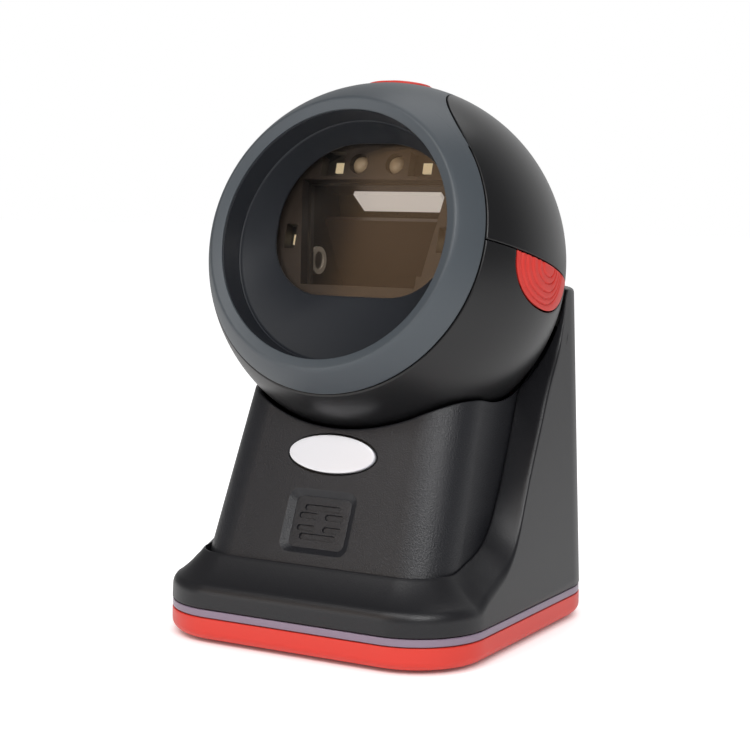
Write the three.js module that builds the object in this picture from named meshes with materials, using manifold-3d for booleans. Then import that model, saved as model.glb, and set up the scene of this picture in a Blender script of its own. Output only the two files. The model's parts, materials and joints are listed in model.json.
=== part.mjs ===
// Desktop presentation barcode scanner: a ball-shaped reading head that tilts in a weighted stand.
// Millimetres, +Z up, the reading face looks along -Y, origin on the table under the middle of the object.
import * as THREE from 'three';
import { mergeVertices } from 'three/addons/utils/BufferGeometryUtils.js';
import Module from 'manifold-3d';

const wasm = await Module();
wasm.setup();

// ---------------------------------------------------------------- driving dimensions
const GAP = 0.3;                       // clearance between pieces that meet
const RUN = 0.08;                      // radial running clearance of the pivot pins

// Ball-shaped head, measured from its centre: "ahead" along the reading axis, "up" square to it.
const BALL_RADIUS = 50;
const BALL_Y = 0.5;
const BALL_Z = 102;
const HEAD_TILT = 16.1;                // degrees that the reading axis points up at rest
const SHELL_WALL = 2.4;
const SEAM_UP = 1;                     // height of the joint line between the two black shells
const RING_AHEAD = 26.1;               // plane where the grey bezel meets the black shells
const CREST_RADIUS = 37.3;             // rounded front edge of the bezel
const LIP_RADIUS = 34.24;              // inner edge of the bezel
const LIP_AHEAD = 32.34;
const BEZEL_SPIGOT = 2;                // wall of the tube that locates the bezel in the shells
const SPIGOT_GAP = 1;
const BEZEL_SPIGOT_AHEAD = 21;
const STRAP_HALF_WIDTH = 17;           // grey saddle over the top of the ball
const STRAP_BACK = -34;
const STRAP_FLARE = 17.6;              // how far the saddle widens where it joins the ring
const STRAP_SWEEP = 22.1;              // length over which it widens
const STRAP_PULL = 11;                 // how far the flare runs along the ring before it turns back
const FUNNEL_STEP_AHEAD = 24;
const FUNNEL_STEP_RADIUS = 33.45;
const FUNNEL_WALL = 1.8;

// Scan window and what stands behind it.
const WINDOW_HALF_WIDTH = 27.6;
const WINDOW_TOP = 29.7;
const WINDOW_BOTTOM = -13.5;
const WINDOW_TOP_CORNER = 23.5;
const WINDOW_BOTTOM_CORNER = 17;
const WINDOW_AHEAD = 16.2;             // back edge of the funnel
const WINDOW_THICK = 1.5;
const WINDOW_OVERLAP = 1.2;            // how far the window tucks behind the funnel edge
const FRAME_THICK = 3.5;
const OPENING_TOP_HALF = 23.3;         // the opening narrows downwards
const OPENING_BOTTOM_HALF = 18.5;
const OPENING_TOP = 20;
const OPENING_BOTTOM = -10.2;
const DOME_X = 5.7;
const TOP_LED_UP = 24.5;
const DOME_RADIUS = 2.6;
const POCKET_X = 13.9;
const POCKET_WIDTH = 7.3;
const POCKET_HEIGHT = 7;
const SIDE_POCKET_X = 24.2;
const SIDE_POCKET_UP = 3.4;
const SIDE_POCKET_WIDTH = 3.6;
const LED_SIZE = 2.9;
const LED_THICK = 0.9;
const LED_BOARD_AHEAD = 8.8;           // front face of the LED board
const BOARD_THICK = 1.6;

// Optics chassis: the box that carries the mirror, the camera and the pivots.
const CHASSIS_HALF_WIDTH = 25;
const CHASSIS_WALL = 1.6;
const CHASSIS_TOP = 23;
const CHASSIS_FLOOR = -13;
const CHASSIS_BACK = -22;
const MIRROR_LENGTH = 25;
const MIRROR_THICK = 1.8;
const MIRROR_AHEAD = -10;              // middle of the mirror, tilted 45 degrees
const MIRROR_UP = 4;
const CAMERA_AHEAD = -10;
const CAMERA_HALF_WIDTH = 8;
const CAMERA_HEIGHT = 11;
const BARREL_RADIUS = 4.6;
const PANEL_HALF_WIDTH = 14;
const TAB_X = 15.8;                    // arched tab with its screw
const TAB_WIDTH = 11;
const TAB_HEIGHT = 9.6;
const TAB_AHEAD = 1;
const STANDOFF_X = 18;
const STANDOFF_UP = -9.5;
const CHASSIS_SCREW_RADIUS = 1.25;
const CHASSIS_SCREW_X = 18;
const CHASSIS_SCREW_AHEAD = -5;
const DECODER_AHEAD = -27;
const DECODER_WIDTH = 46;
const DECODER_HEIGHT = 38;

// Button, grips and shell screws.
const BUTTON_HALF_WIDTH = 9.5;
const BUTTON_FRONT = 15.5;
const BUTTON_BACK = -16;
const BUTTON_PROUD = 0.6;
const BUTTON_TRAVEL = 1.2;
const BUTTON_STEM = 8;                 // from the ball's surface to the stem's lower end
const SWITCH_HEIGHT = 4;
const SWITCH_POST_X = 14.3;
const SWITCH_POST_RADIUS = 1.6;
const GRIP_FRONT = 16.1;               // half-axes of the grip outline ahead, behind and below
const GRIP_REAR = 18.2;
const GRIP_DEPTH = 12.3;
const GRIP_THICK = 1.4;
const SHELL_SCREW_X = 20;
const SHELL_SCREW_AHEAD = -36;
const SHELL_SCREW_SEAT = -18;          // height of the screw heads' seat in the lower shell
const SCREW_RADIUS = 1.5;              // shell, base and yoke screws
const SCREW_HEAD = 1.9;                // head radius over shank radius
const COUNTERBORE = 1.4;               // depth of the base screws' seats
const PEDESTAL_RADIUS = 3;
const SHELL_BOSS_RADIUS = 4.2;

// Tilting pivot.
const TILT_UP = 15;                    // degrees of travel that raise the reading axis
const TILT_DOWN = 20;
const PIVOT_RADIUS = 2.5;
const BUSH_WALL = 1.4;
const BUSH_FLANGE = 5.2;
const YOKE_X = 29;                     // inner face of each yoke arm
const YOKE_THICK = 2.5;
const YOKE_ANGLE = 35;                 // degrees behind straight down
const YOKE_HALF_WIDTH = 5;
const YOKE_BEND = 56;                  // from the pivot down the arm to the bend
const YOKE_ANKLE = 8;                  // height of the arm's upright front edge above the foot
const YOKE_FOOT_Z = 24;
const YOKE_FOOT_FRONT = 20;
const YOKE_FOOT_BACK = 41;
const YOKE_SCREW_X = 22;
const YOKE_SCREW_INSET = 5;

// Stand.
const BASE_Y = -1.3;                   // middle of the stand, front to back
const BASE_HALF_WIDTH = 47.25;
const BASE_HALF_DEPTH = 49.2;
const BASE_CORNER = 20.5;
const DRAFT = 0.04;                    // inward lean of the outer wall for each unit of height
const FOOT_PROUD = 1;                  // the feet hold the base plate this far off the table
const BASE_PLATE_TOP = 7.2;
const BASE_EDGE_INSET = 1.8;
const STRIP_TOP = 9.4;
const LIP_Z = 15;
const LEDGE_TOP_Z = 23.5;
const LEDGE_INSET = 8.7;
const STAND_WALL = 2.4;
const STAND_TOP_Z = 96;
const CUP_GAP = 1;                     // between the ball and the cup that holds it
const DIP_Z = 71;                      // low middle of the back wall
const DIP_HALF_WIDTH = 33;
const COVER_LEAN = 23;                 // degrees that the front cover leans back
const COVER_Y = -40.5;                 // foot of the cover's middle
const COVER_HALF_WIDTH = 38;
const COVER_NARROWING = 0.057;
const COVER_CORNER = 13.5;
const COVER_BOW = 1.5;
const COVER_WALL = 2.4;
const BADGE_WIDTH = 26.5;
const BADGE_HEIGHT = 10.4;
const BADGE_UP = 30.2;                 // up the slope of the cover from its foot
const BADGE_PROUD = 0.5;
const BADGE_SUNK = 0.7;
const GRILLE_WIDTH = 20.4;
const GRILLE_HEIGHT = 16.8;
const GRILLE_UP = 11.4;
const GRILLE_CORNER = 2.5;
const GRILLE_SUNK = 0.9;
const SLOT_WIDTH = 1.5;
const LONG_SLOT = 11.2;
const LONG_SLOT_UP = 3.98;           // from the grille's middle to the outer rows
const SHORT_SLOT = 5.7;
const SHORT_SLOT_UP = 1.72;          // and to the inner rows, two slots in each
const SHORT_SLOT_X = 4;
const SPEAKER_RADIUS = 8.5;
const SPEAKER_DEPTH = 5;

// Inside the base.
const FOOT_RADIUS = 6;
const FOOT_X = 32;
const FOOT_FROM_MIDDLE = 34;
const FOOT_RECESS = 0.6;
const BASE_FLOOR = 2.4;
const BALLAST_WIDTH = 56;
const BALLAST_DEPTH = 40;
const BALLAST_THICK = 6;
const BALLAST_Y = -16;
const BASE_SCREW_X = 33.5;
const BASE_SCREW_Y = 24;               // ahead of and behind the stand's middle
const BASE_BOSS_RADIUS = 4;
const RIB_THICK = 1.6;                 // ribs that tie the screw bosses to the side walls
const SOCKET_WIDTH = 14;
const SOCKET_HEIGHT = 9;
const SOCKET_DEPTH = 13;
const SOCKET_Z = 13.6;
const SOCKET_WALL = 1.2;
const INTERFACE_Z = 11.4;
const INTERFACE_WIDTH = 34;
const INTERFACE_DEPTH = 30;

// Values that follow from the ones above.
const RING_RADIUS = Math.sqrt(BALL_RADIUS ** 2 - RING_AHEAD ** 2);
const SHELL_INNER = BALL_RADIUS - SHELL_WALL;
const SPIGOT_RADIUS = Math.sqrt(SHELL_INNER ** 2 - RING_AHEAD ** 2) - SPIGOT_GAP;
const CUP_RADIUS = BALL_RADIUS + CUP_GAP;
const CUP_OUTER = CUP_RADIUS + STAND_WALL;
const BASE_PLATE_Z = FOOT_PROUD;
const SHELL_Z = STRIP_TOP + GAP;
const FRAME_AHEAD = WINDOW_AHEAD - WINDOW_THICK - 2 * GAP;
const BUSH_RADIUS = PIVOT_RADIUS + RUN + BUSH_WALL;
const DEGREE = Math.PI / 180;

// ---------------------------------------------------------------- shape helpers

/** Turn a closed geometry into a solid, with its shared corners merged and its faces outwards. */
function solid(geometry) {
  const bare = geometry.clone();
  bare.deleteAttribute('normal');
  bare.deleteAttribute('uv');
  const merged = mergeVertices(bare, 1e-4);
  const at = merged.attributes.position;
  const index = merged.index.array;
  const kept = [];
  let volume = 0;
  const [a, b, c] = [new THREE.Vector3(), new THREE.Vector3(), new THREE.Vector3()];
  for (let i = 0; i < index.length; i += 3) {
    const [p, q, r] = [index[i], index[i + 1], index[i + 2]];
    if (p === q || q === r || r === p) continue;
    kept.push(p, q, r);
    a.fromBufferAttribute(at, p);
    b.fromBufferAttribute(at, q);
    c.fromBufferAttribute(at, r);
    volume += a.dot(b.cross(c));
  }
  if (volume < 0) kept.reverse();
  return new wasm.Manifold(new wasm.Mesh({
    numProp: 3,
    vertProperties: new Float32Array(at.array),
    triVerts: new Uint32Array(kept),
  }));
}

/** Turn a solid back into a geometry. */
function geometryOf(shape) {
  const mesh = shape.getMesh();
  const geometry = new THREE.BufferGeometry();
  geometry.setAttribute('position', new THREE.BufferAttribute(new Float32Array(mesh.vertProperties), 3));
  geometry.setIndex(new THREE.BufferAttribute(new Uint32Array(mesh.triVerts), 1));
  geometry.computeVertexNormals();
  return geometry;
}

const join = (first, ...others) => others.reduce((whole, piece) => whole.add(piece), first);
const cut = (first, ...others) => others.reduce((whole, piece) => whole.subtract(piece), first);

/** A profile of [radius, height] points turned about the Z axis. */
function turned(profile, segments = 20) {
  const points = profile.map(([radius, height]) => new THREE.Vector2(radius, height));
  return new THREE.LatheGeometry(points, segments).rotateX(Math.PI / 2);
}

/** A cylinder about the Z axis from z0 to z1. */
function post(radius, z0, z1, segments = 12) {
  return turned([[0, z0], [radius, z0], [radius, z1], [0, z1]], segments);
}

/** A ball about the origin. */
function ball(radius, segments = 36) {
  const rows = segments / 2;
  const profile = Array.from({ length: rows + 1 }, (_, i) => {
    const angle = -Math.PI / 2 + (Math.PI * i) / rows;
    return [i % rows === 0 ? 0 : radius * Math.cos(angle), radius * Math.sin(angle)];
  });
  return turned(profile, segments);
}

/** A box between two corners. */
function block([x0, y0, z0], [x1, y1, z1]) {
  const box = new THREE.BoxGeometry(x1 - x0, y1 - y0, z1 - z0);
  return box.translate((x0 + x1) / 2, (y0 + y1) / 2, (z0 + z1) / 2);
}

/** A flat shape extruded upwards from z0 to z1. */
function slab(shape, z0, z1, curveSegments = 6) {
  const depth = z1 - z0;
  return new THREE.ExtrudeGeometry(shape, { depth, bevelEnabled: false, curveSegments }).translate(0, 0, z0);
}

/** A shape drawn in (y, z) and extruded along X from x0 to x1. */
function sideways(shape, x0, x1, curveSegments = 6) {
  const turn = new THREE.Matrix4().makeBasis(
    new THREE.Vector3(0, 1, 0), new THREE.Vector3(0, 0, 1), new THREE.Vector3(1, 0, 0));
  return slab(shape, x0, x1, curveSegments).applyMatrix4(turn);
}

/** A closed outline through a list of points. */
const outline = (points) => new THREE.Shape(points.map(([x, y]) => new THREE.Vector2(x, y)));

/** A rectangle with round corners about (x, y). */
function roundedRectangle(x, y, width, height, radius) {
  const shape = new THREE.Shape();
  const [left, right, low, high] = [x - width / 2, x + width / 2, y - height / 2, y + height / 2];
  shape.moveTo(left + radius, low);
  shape.lineTo(right - radius, low);
  shape.absarc(right - radius, low + radius, radius, -Math.PI / 2, 0);
  shape.lineTo(right, high - radius);
  shape.absarc(right - radius, high - radius, radius, 0, Math.PI / 2);
  shape.lineTo(left + radius, high);
  shape.absarc(left + radius, high - radius, radius, Math.PI / 2, Math.PI);
  shape.lineTo(left, low + radius);
  shape.absarc(left + radius, low + radius, radius, Math.PI, 1.5 * Math.PI);
  return shape;
}

/** A plain rectangle about (x, y). */
const rectangle = (x, y, width, height) => outline([
  [x - width / 2, y - height / 2], [x + width / 2, y - height / 2],
  [x + width / 2, y + height / 2], [x - width / 2, y + height / 2],
]);

/** A round hole's outline. */
function circle(x, y, radius) {
  const path = new THREE.Path();
  path.absarc(x, y, radius, 0, 2 * Math.PI);
  return path;
}

/** Skin a stack of rings of equal length; the ends are closed, or joined to each other for a tube. */
function skinned(rings, ringToRing = false) {
  const count = rings[0].length;
  const vertices = rings.flat();
  const faces = [];
  const bands = ringToRing ? rings.length : rings.length - 1;
  for (let i = 0; i < bands; i++) {
    const [low, high] = [i * count, ((i + 1) % rings.length) * count];
    for (let j = 0; j < count; j++) {
      const k = (j + 1) % count;
      faces.push(low + j, low + k, high + k, low + j, high + k, high + j);
    }
  }
  if (!ringToRing) {
    const last = (rings.length - 1) * count;
    for (const [start, flip] of [[0, true], [last, false]]) {
      const middle = vertices.length;
      vertices.push([0, 1, 2].map((k) => {
        const ring = rings[start / count];
        return ring.reduce((sum, point) => sum + point[k], 0) / count;
      }));
      for (let j = 0; j < count; j++) {
        const k = (j + 1) % count;
        faces.push(...(flip ? [middle, start + k, start + j] : [middle, start + j, start + k]));
      }
    }
  }
  const geometry = new THREE.BufferGeometry();
  geometry.setAttribute('position', new THREE.Float32BufferAttribute(vertices.flat(), 3));
  geometry.setIndex(faces);
  return geometry;
}

/** Turn something built upwards along Z so that it runs ahead along the reading axis. */
const ahead = (geometry) => geometry.rotateX(Math.PI / 2);

/** The same piece on the other side. */
const mirrored = (shape) => shape.mirror([1, 0, 0]);

// ---------------------------------------------------------------- finishes
const finish = (color, roughness, metalness = 0) =>
  new THREE.MeshStandardMaterial({ color, roughness, metalness });
const FINISH = {
  bezel: finish(0x545c62, 0.45),
  funnel: finish(0x24272e, 0.5),
  shell: finish(0x1c1c1e, 0.4),
  grain: finish(0x242426, 0.7),
  red: finish(0xf04238, 0.45),
  strip: finish(0xaf96b2, 0.35),
  badge: finish(0xe8e8ea, 0.3),
  rubber: finish(0x151515, 0.9),
  steel: finish(0x9a9c9e, 0.35, 1),
  brass: finish(0xb59a55, 0.35, 1),
  board: finish(0x1d5a35, 0.5),
  chassis: finish(0x33261f, 0.6),
  glass: finish(0xc9b8a6, 0.05),
  mirror: finish(0xdfe3e6, 0.03, 1),
  led: finish(0xf0e4b8, 0.4),
  nylon: finish(0xe6e2d8, 0.5),
};

/** The one real body of a cut solid, without the slivers of no volume that a cut can leave. */
const clean = (shape) =>
  shape.decompose().reduce((most, body) => (body.volume() > most.volume() ? body : most));

/** One named sub-part. */
function part(name, shape, material) {
  const mesh = new THREE.Mesh(shape.isBufferGeometry ? shape : geometryOf(clean(shape)), material);
  mesh.name = name;
  return mesh;
}

// ---------------------------------------------------------------- head
// Built about the ball's centre with the reading axis along -Y; the head group then tilts it up.

/** Outline of the scan window in (x, up), grown by a margin. */
function windowOutline(margin) {
  const right = WINDOW_HALF_WIDTH + margin;
  const [top, bottom] = [WINDOW_TOP + margin, WINDOW_BOTTOM - margin];
  const [topCorner, bottomCorner] = [WINDOW_TOP_CORNER + margin, WINDOW_BOTTOM_CORNER + margin];
  const shape = new THREE.Shape();
  shape.moveTo(-right + bottomCorner, bottom);
  shape.lineTo(right - bottomCorner, bottom);
  shape.absarc(right - bottomCorner, bottom + bottomCorner, bottomCorner, -Math.PI / 2, 0);
  shape.lineTo(right, top - topCorner);
  shape.absarc(right - topCorner, top - topCorner, topCorner, 0, Math.PI / 2);
  shape.lineTo(-right + topCorner, top);
  shape.absarc(-right + topCorner, top - topCorner, topCorner, Math.PI / 2, Math.PI);
  shape.lineTo(-right, bottom + bottomCorner);
  shape.absarc(-right + bottomCorner, bottom + bottomCorner, bottomCorner, Math.PI, 1.5 * Math.PI);
  return shape;
}

/** Corners (x, up) of the opening that the camera looks out through: a little wider at the top. */
const viewOpening = () => [
  [-OPENING_BOTTOM_HALF, OPENING_BOTTOM], [OPENING_BOTTOM_HALF, OPENING_BOTTOM],
  [OPENING_TOP_HALF, OPENING_TOP], [-OPENING_TOP_HALF, OPENING_TOP],
];

/** The solid that the grey saddle occupies over the top of the ball, grown by a margin. */
function strapBlock(margin) {
  const half = STRAP_HALF_WIDTH + margin;
  const wide = STRAP_HALF_WIDTH + STRAP_FLARE + margin;
  const back = STRAP_BACK - margin;
  const shape = new THREE.Shape();
  const flare = RING_AHEAD - margin;
  shape.moveTo(wide, RING_AHEAD + 2);
  shape.lineTo(wide, flare);
  shape.bezierCurveTo(half + STRAP_PULL, flare, half + 1.5, flare - 3.6, half, flare - STRAP_SWEEP);
  shape.lineTo(half, back + half);
  shape.absarc(0, back + half, half, 0, -Math.PI, true);
  shape.lineTo(-half, flare - STRAP_SWEEP);
  shape.bezierCurveTo(-half - 1.5, flare - 3.6, -half - STRAP_PULL, flare, -wide, flare);
  shape.lineTo(-wide, RING_AHEAD + 2);
  return solid(slab(shape, SEAM_UP, BALL_RADIUS + 5, 6).scale(1, -1, 1));
}

/** Everything behind a plane square to the reading axis. */
const behind = (aheadBy) => solid(block([-60, -aheadBy, -60], [60, 60, 60]));

/** The hollow ball wall that the shells and the saddle are cut from. */
const ballWall = () => cut(solid(ahead(ball(BALL_RADIUS))), solid(ahead(ball(SHELL_INNER, 24))));

/** The button's plan, grown by a margin. */
function buttonBlock(margin, low, high) {
  const [width, length] = [2 * (BUTTON_HALF_WIDTH + margin), BUTTON_FRONT - BUTTON_BACK + 2 * margin];
  const middle = -(BUTTON_FRONT + BUTTON_BACK) / 2;
  return solid(slab(roundedRectangle(0, middle, width, length, BUTTON_HALF_WIDTH * 0.8), low, high));
}

function frontBezel() {
  const ringAngle = Math.asin(RING_RADIUS / BALL_RADIUS);
  const crestAngle = Math.asin(CREST_RADIUS / BALL_RADIUS);
  const skin = Array.from({ length: 4 }, (_, i) => {
    const angle = ringAngle + ((crestAngle - ringAngle) * (i + 0.05)) / 3.05;
    return [BALL_RADIUS * Math.sin(angle), BALL_RADIUS * Math.cos(angle)];
  });
  const inner = SPIGOT_RADIUS;
  const back = RING_AHEAD + GAP / 2;
  const profile = [
    ...skin,
    [CREST_RADIUS - 1.2, LIP_AHEAD + 1.05],
    [LIP_RADIUS, LIP_AHEAD],
    [LIP_RADIUS, LIP_AHEAD - 0.44],
    [inner - BEZEL_SPIGOT, LIP_AHEAD - 0.44],
    [inner - BEZEL_SPIGOT, BEZEL_SPIGOT_AHEAD],
    [inner, BEZEL_SPIGOT_AHEAD],
    [inner, back],
    [skin[0][0], back],
    skin[0],
  ];
  const ring = solid(ahead(turned(profile, 36)));
  const saddle = ballWall().intersect(strapBlock(0)).intersect(behind(RING_AHEAD + 1));
  let bezel = cut(join(ring, saddle), buttonBlock(GAP + 0.1, 20, 60));
  const inside = solid(ahead(ball(BALL_RADIUS - 1)));
  for (const side of [-1, 1]) {
    const middle = -(BUTTON_FRONT + BUTTON_BACK) / 2;
    const pillar = post(SWITCH_POST_RADIUS, switchBoardTop() + GAP, BALL_RADIUS)
      .translate(side * SWITCH_POST_X, middle, 0);
    bezel = join(bezel, solid(pillar).intersect(inside));
  }
  return part('front_bezel', bezel, FINISH.bezel);
}

/** Rings that run from the round collar to the window's outline, with walls of even thickness. */
function apertureFunnel() {
  const edge = windowOutline(0).getSpacedPoints(48).slice(1);
  const ringAt = (radius, height) => edge.map((p) => {
    const scale = radius / p.length();
    return [p.x * scale, -height, p.y * scale];
  });
  const windowRing = (margin, height) => edge.map((p) => {
    const scale = 1 + margin / p.length();
    return [p.x * scale, -height, p.y * scale];
  });
  const outer = SPIGOT_RADIUS - BEZEL_SPIGOT - GAP;
  const rings = [
    ringAt(LIP_RADIUS, LIP_AHEAD - 0.44 - GAP),
    ringAt(FUNNEL_STEP_RADIUS + 0.45, FUNNEL_STEP_AHEAD + 0.05),
    ringAt(FUNNEL_STEP_RADIUS, FUNNEL_STEP_AHEAD),
    windowRing(0, WINDOW_AHEAD),
    windowRing(FUNNEL_WALL, WINDOW_AHEAD),
    ringAt(outer, FUNNEL_STEP_AHEAD - FUNNEL_WALL),
    ringAt(outer, LIP_AHEAD - 0.44 - GAP),
  ];
  return part('aperture_funnel', solid(skinned(rings, true)), FINISH.funnel);
}

function scanWindow() {
  const back = WINDOW_AHEAD - GAP - WINDOW_THICK;
  const pane = slab(windowOutline(WINDOW_OVERLAP), back, back + WINDOW_THICK, 5);
  return part('scan_window', ahead(pane), FINISH.glass);
}

/** The window-shaped plate that frames the view into the optics, with holes for the lamps. */
function opticalFrame() {
  const [back, front] = [FRAME_AHEAD - FRAME_THICK, FRAME_AHEAD];
  const hole = (shape) => solid(ahead(slab(shape, back - 1, front + 1, 5)));
  let frame = solid(ahead(slab(windowOutline(WINDOW_OVERLAP), back, front, 5)));
  frame = cut(frame, hole(outline(viewOpening())));
  for (const side of [-1, 1]) {
    const bore = post(DOME_RADIUS + GAP, back - 1, front + 1);
    const dome = solid(ahead(bore).translate(side * DOME_X, 0, TOP_LED_UP));
    const topPocket = rectangle(side * POCKET_X, TOP_LED_UP, POCKET_WIDTH, POCKET_HEIGHT);
    const sidePocket = rectangle(side * SIDE_POCKET_X, SIDE_POCKET_UP, SIDE_POCKET_WIDTH, POCKET_HEIGHT);
    frame = cut(frame, dome, hole(topPocket), hole(sidePocket));
  }
  return part('optical_frame', frame, FINISH.chassis);
}

function ledBoard() {
  const back = LED_BOARD_AHEAD - BOARD_THICK;
  const shape = windowOutline(WINDOW_OVERLAP);
  shape.holes.push(outline(viewOpening()));
  return part('led_board', ahead(slab(shape, back, LED_BOARD_AHEAD, 4)), FINISH.board);
}

/** The lamps on the LED board: two domes and four square chips. */
function lamps() {
  const seat = LED_BOARD_AHEAD + GAP;
  const pieces = [];
  for (const [word, side] of [['left', -1], ['right', 1]]) {
    const dome = [[0, seat], [DOME_RADIUS, seat], [DOME_RADIUS, FRAME_AHEAD - 2.2]];
    for (let i = 1; i <= 3; i++) {
      const angle = (i * Math.PI) / 6;
      dome.push([i === 3 ? 0 : DOME_RADIUS * Math.cos(angle), FRAME_AHEAD - 2.2 + 2 * Math.sin(angle)]);
    }
    pieces.push(part(`dome_lamp_${word}`,
      solid(ahead(turned(dome, 16)).translate(side * DOME_X, 0, TOP_LED_UP)), FINISH.led));
    for (const [place, x, up] of [['top', POCKET_X, TOP_LED_UP], ['side', SIDE_POCKET_X, SIDE_POCKET_UP]]) {
      const chip = rectangle(side * x, up, LED_SIZE, LED_SIZE);
      pieces.push(part(`${place}_led_${word}`, ahead(slab(chip, seat, seat + LED_THICK, 2)), FINISH.led));
    }
  }
  return pieces;
}

/** An upright cylinder at one of the two places where the chassis is screwed down. */
const chassisPost = (side, radius, low, high) =>
  solid(post(radius, low, high).translate(side * CHASSIS_SCREW_X, -CHASSIS_SCREW_AHEAD, 0));

/** Open-fronted box with a sloping back, bored for the camera below and for the pivot bushes. */
function opticsChassis() {
  const front = LED_BOARD_AHEAD - BOARD_THICK - GAP;
  const side = (margin) => outline([
    [-front - 2 * margin, CHASSIS_FLOOR + margin], [-CHASSIS_BACK - margin, CHASSIS_FLOOR + margin],
    [-CHASSIS_BACK - margin, CHASSIS_FLOOR + 8], [8 - margin, CHASSIS_TOP - margin],
    [-front - 2 * margin, CHASSIS_TOP - margin],
  ]);
  const inner = CHASSIS_HALF_WIDTH - CHASSIS_WALL;
  let box = solid(sideways(side(0), -CHASSIS_HALF_WIDTH, CHASSIS_HALF_WIDTH));
  box = cut(box, solid(sideways(side(CHASSIS_WALL), -inner, inner)));
  const bore = solid(post(BARREL_RADIUS + GAP, -30, 0).translate(0, -CAMERA_AHEAD, 0));
  const bushBore = solid(post(BUSH_RADIUS + RUN, -40, 40, 20).rotateY(Math.PI / 2));
  const tab = new THREE.Shape();
  const [tabLow, tabHalf] = [CHASSIS_FLOOR + CHASSIS_WALL - 0.5, TAB_WIDTH / 2];
  tab.moveTo(TAB_X - tabHalf, tabLow);
  tab.lineTo(TAB_X + tabHalf, tabLow);
  tab.lineTo(TAB_X + tabHalf, tabLow + TAB_HEIGHT);
  tab.absarc(TAB_X, tabLow + TAB_HEIGHT, tabHalf, 0, Math.PI);
  tab.holes.push(circle(TAB_X, tabLow + TAB_HEIGHT, 1.3));
  const ear = solid(ahead(slab(tab, TAB_AHEAD - 1.4, TAB_AHEAD, 5)));
  const reach = DECODER_AHEAD + GAP;
  for (const side of [-1, 1]) {
    const rod = ahead(post(2, reach, CHASSIS_BACK + 1));
    const standoff = solid(rod.translate(side * STANDOFF_X, 0, STANDOFF_UP));
    const screwHole = chassisPost(side, CHASSIS_SCREW_RADIUS + GAP, CHASSIS_FLOOR - 1, CHASSIS_FLOOR + 5);
    box = cut(join(box, standoff), screwHole);
  }
  return part('optics_chassis', cut(join(box, ear), bore, bushBore), FINISH.chassis);
}

/** Mirror at 45 degrees that turns the camera's upward view out through the window. */
function foldMirror() {
  const half = MIRROR_LENGTH / 2;
  const wide = CHASSIS_HALF_WIDTH - CHASSIS_WALL - GAP;
  const plate = block([-wide, -half, -MIRROR_THICK / 2], [wide, half, MIRROR_THICK / 2]);
  plate.rotateX(-Math.PI / 4).translate(0, -MIRROR_AHEAD, MIRROR_UP);
  return part('fold_mirror', plate, FINISH.mirror);
}

/** White diffuser strip under the chassis roof. */
function lightPanel() {
  const plate = block([-PANEL_HALF_WIDTH, -4, -0.6], [PANEL_HALF_WIDTH, 4, 0.6]);
  return part('light_panel', plate.rotateX(-20 * DEGREE).translate(0, 3.2, CHASSIS_TOP - 4.4), FINISH.badge);
}

/** A screw along +Z with its head below z0. */
function screwShape(radius, z0, z1, headHeight = 1.8) {
  const head = radius * SCREW_HEAD;
  const low = z0 - headHeight;
  return turned([[0, low], [head, low], [head, z0], [radius, z0], [radius, z1], [0, z1]], 10);
}

function tabScrew() {
  const up = CHASSIS_FLOOR + CHASSIS_WALL - 0.5 + TAB_HEIGHT;
  const screw = screwShape(1, 0, 4, 1.2).rotateX(-Math.PI / 2).translate(TAB_X, -TAB_AHEAD - GAP, up);
  return part('tab_screw', screw, FINISH.steel);
}

/** Camera module under the chassis, its barrel reaching up through the floor. */
function camera() {
  const top = CHASSIS_FLOOR - GAP;
  const low = top - CAMERA_HEIGHT;
  const half = CAMERA_HALF_WIDTH;
  const body = block([-half, -half, low], [half, half, top]);
  const barrelTop = CHASSIS_FLOOR + CHASSIS_WALL + 1;
  const barrel = solid(post(BARREL_RADIUS, top - 1, barrelTop, 20));
  const pit = solid(post(BARREL_RADIUS - 1, barrelTop - 1.6, barrelTop + 1, 20));
  const lensRadius = BARREL_RADIUS - 1 - GAP;
  const lens = turned([[0, barrelTop - 1.3], [lensRadius, barrelTop - 1.3], [lensRadius, barrelTop - 0.8],
    [lensRadius * 0.6, barrelTop - 0.1], [0, barrelTop + 0.1]], 16);
  const module = cut(join(solid(body), barrel), pit).translate([0, -CAMERA_AHEAD, 0]);
  return [
    part('camera_module', module, FINISH.funnel),
    part('camera_lens', solid(lens.translate(0, -CAMERA_AHEAD, 0)), FINISH.glass),
  ];
}

/** Decoder board behind the chassis, with the white header that its lead plugs into. */
function decoderBoard() {
  const front = -DECODER_AHEAD;
  const [half, low] = [DECODER_WIDTH / 2, -DECODER_HEIGHT / 2 - 2];
  const board = roundedRectangle(0, low + DECODER_HEIGHT / 2, DECODER_WIDTH, DECODER_HEIGHT, 2);
  const plug = block([-half + 6, front + BOARD_THICK + GAP, low + 4], [-half + 20, front + 6, low + 9]);
  return [
    part('decoder_board', ahead(slab(board, DECODER_AHEAD - BOARD_THICK, DECODER_AHEAD, 3)), FINISH.board),
    part('head_lead_header', plug, FINISH.nylon),
  ];
}

/** Boss for a shell screw, between two heights. */
const shellBoss = (side, low, high, radius) =>
  solid(post(radius, low, high).translate(side * SHELL_SCREW_X, -SHELL_SCREW_AHEAD, 0));

function upperShell() {
  const above = solid(block([-60, -60, SEAM_UP + GAP / 2], [60, 60, 60]));
  let shell = ballWall().intersect(above).intersect(behind(RING_AHEAD - GAP / 2));
  shell = cut(shell, strapBlock(GAP));
  for (const side of [-1, 1]) {
    const boss = shellBoss(side, SEAM_UP + GAP / 2, 24, SHELL_BOSS_RADIUS);
    const bore = shellBoss(side, SEAM_UP - 5, SEAM_UP + 12, SCREW_RADIUS + GAP / 2);
    shell = cut(join(shell, boss.intersect(solid(ahead(ball(BALL_RADIUS - 1))))), bore);
  }
  return part('upper_shell', shell, FINISH.shell);
}

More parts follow.
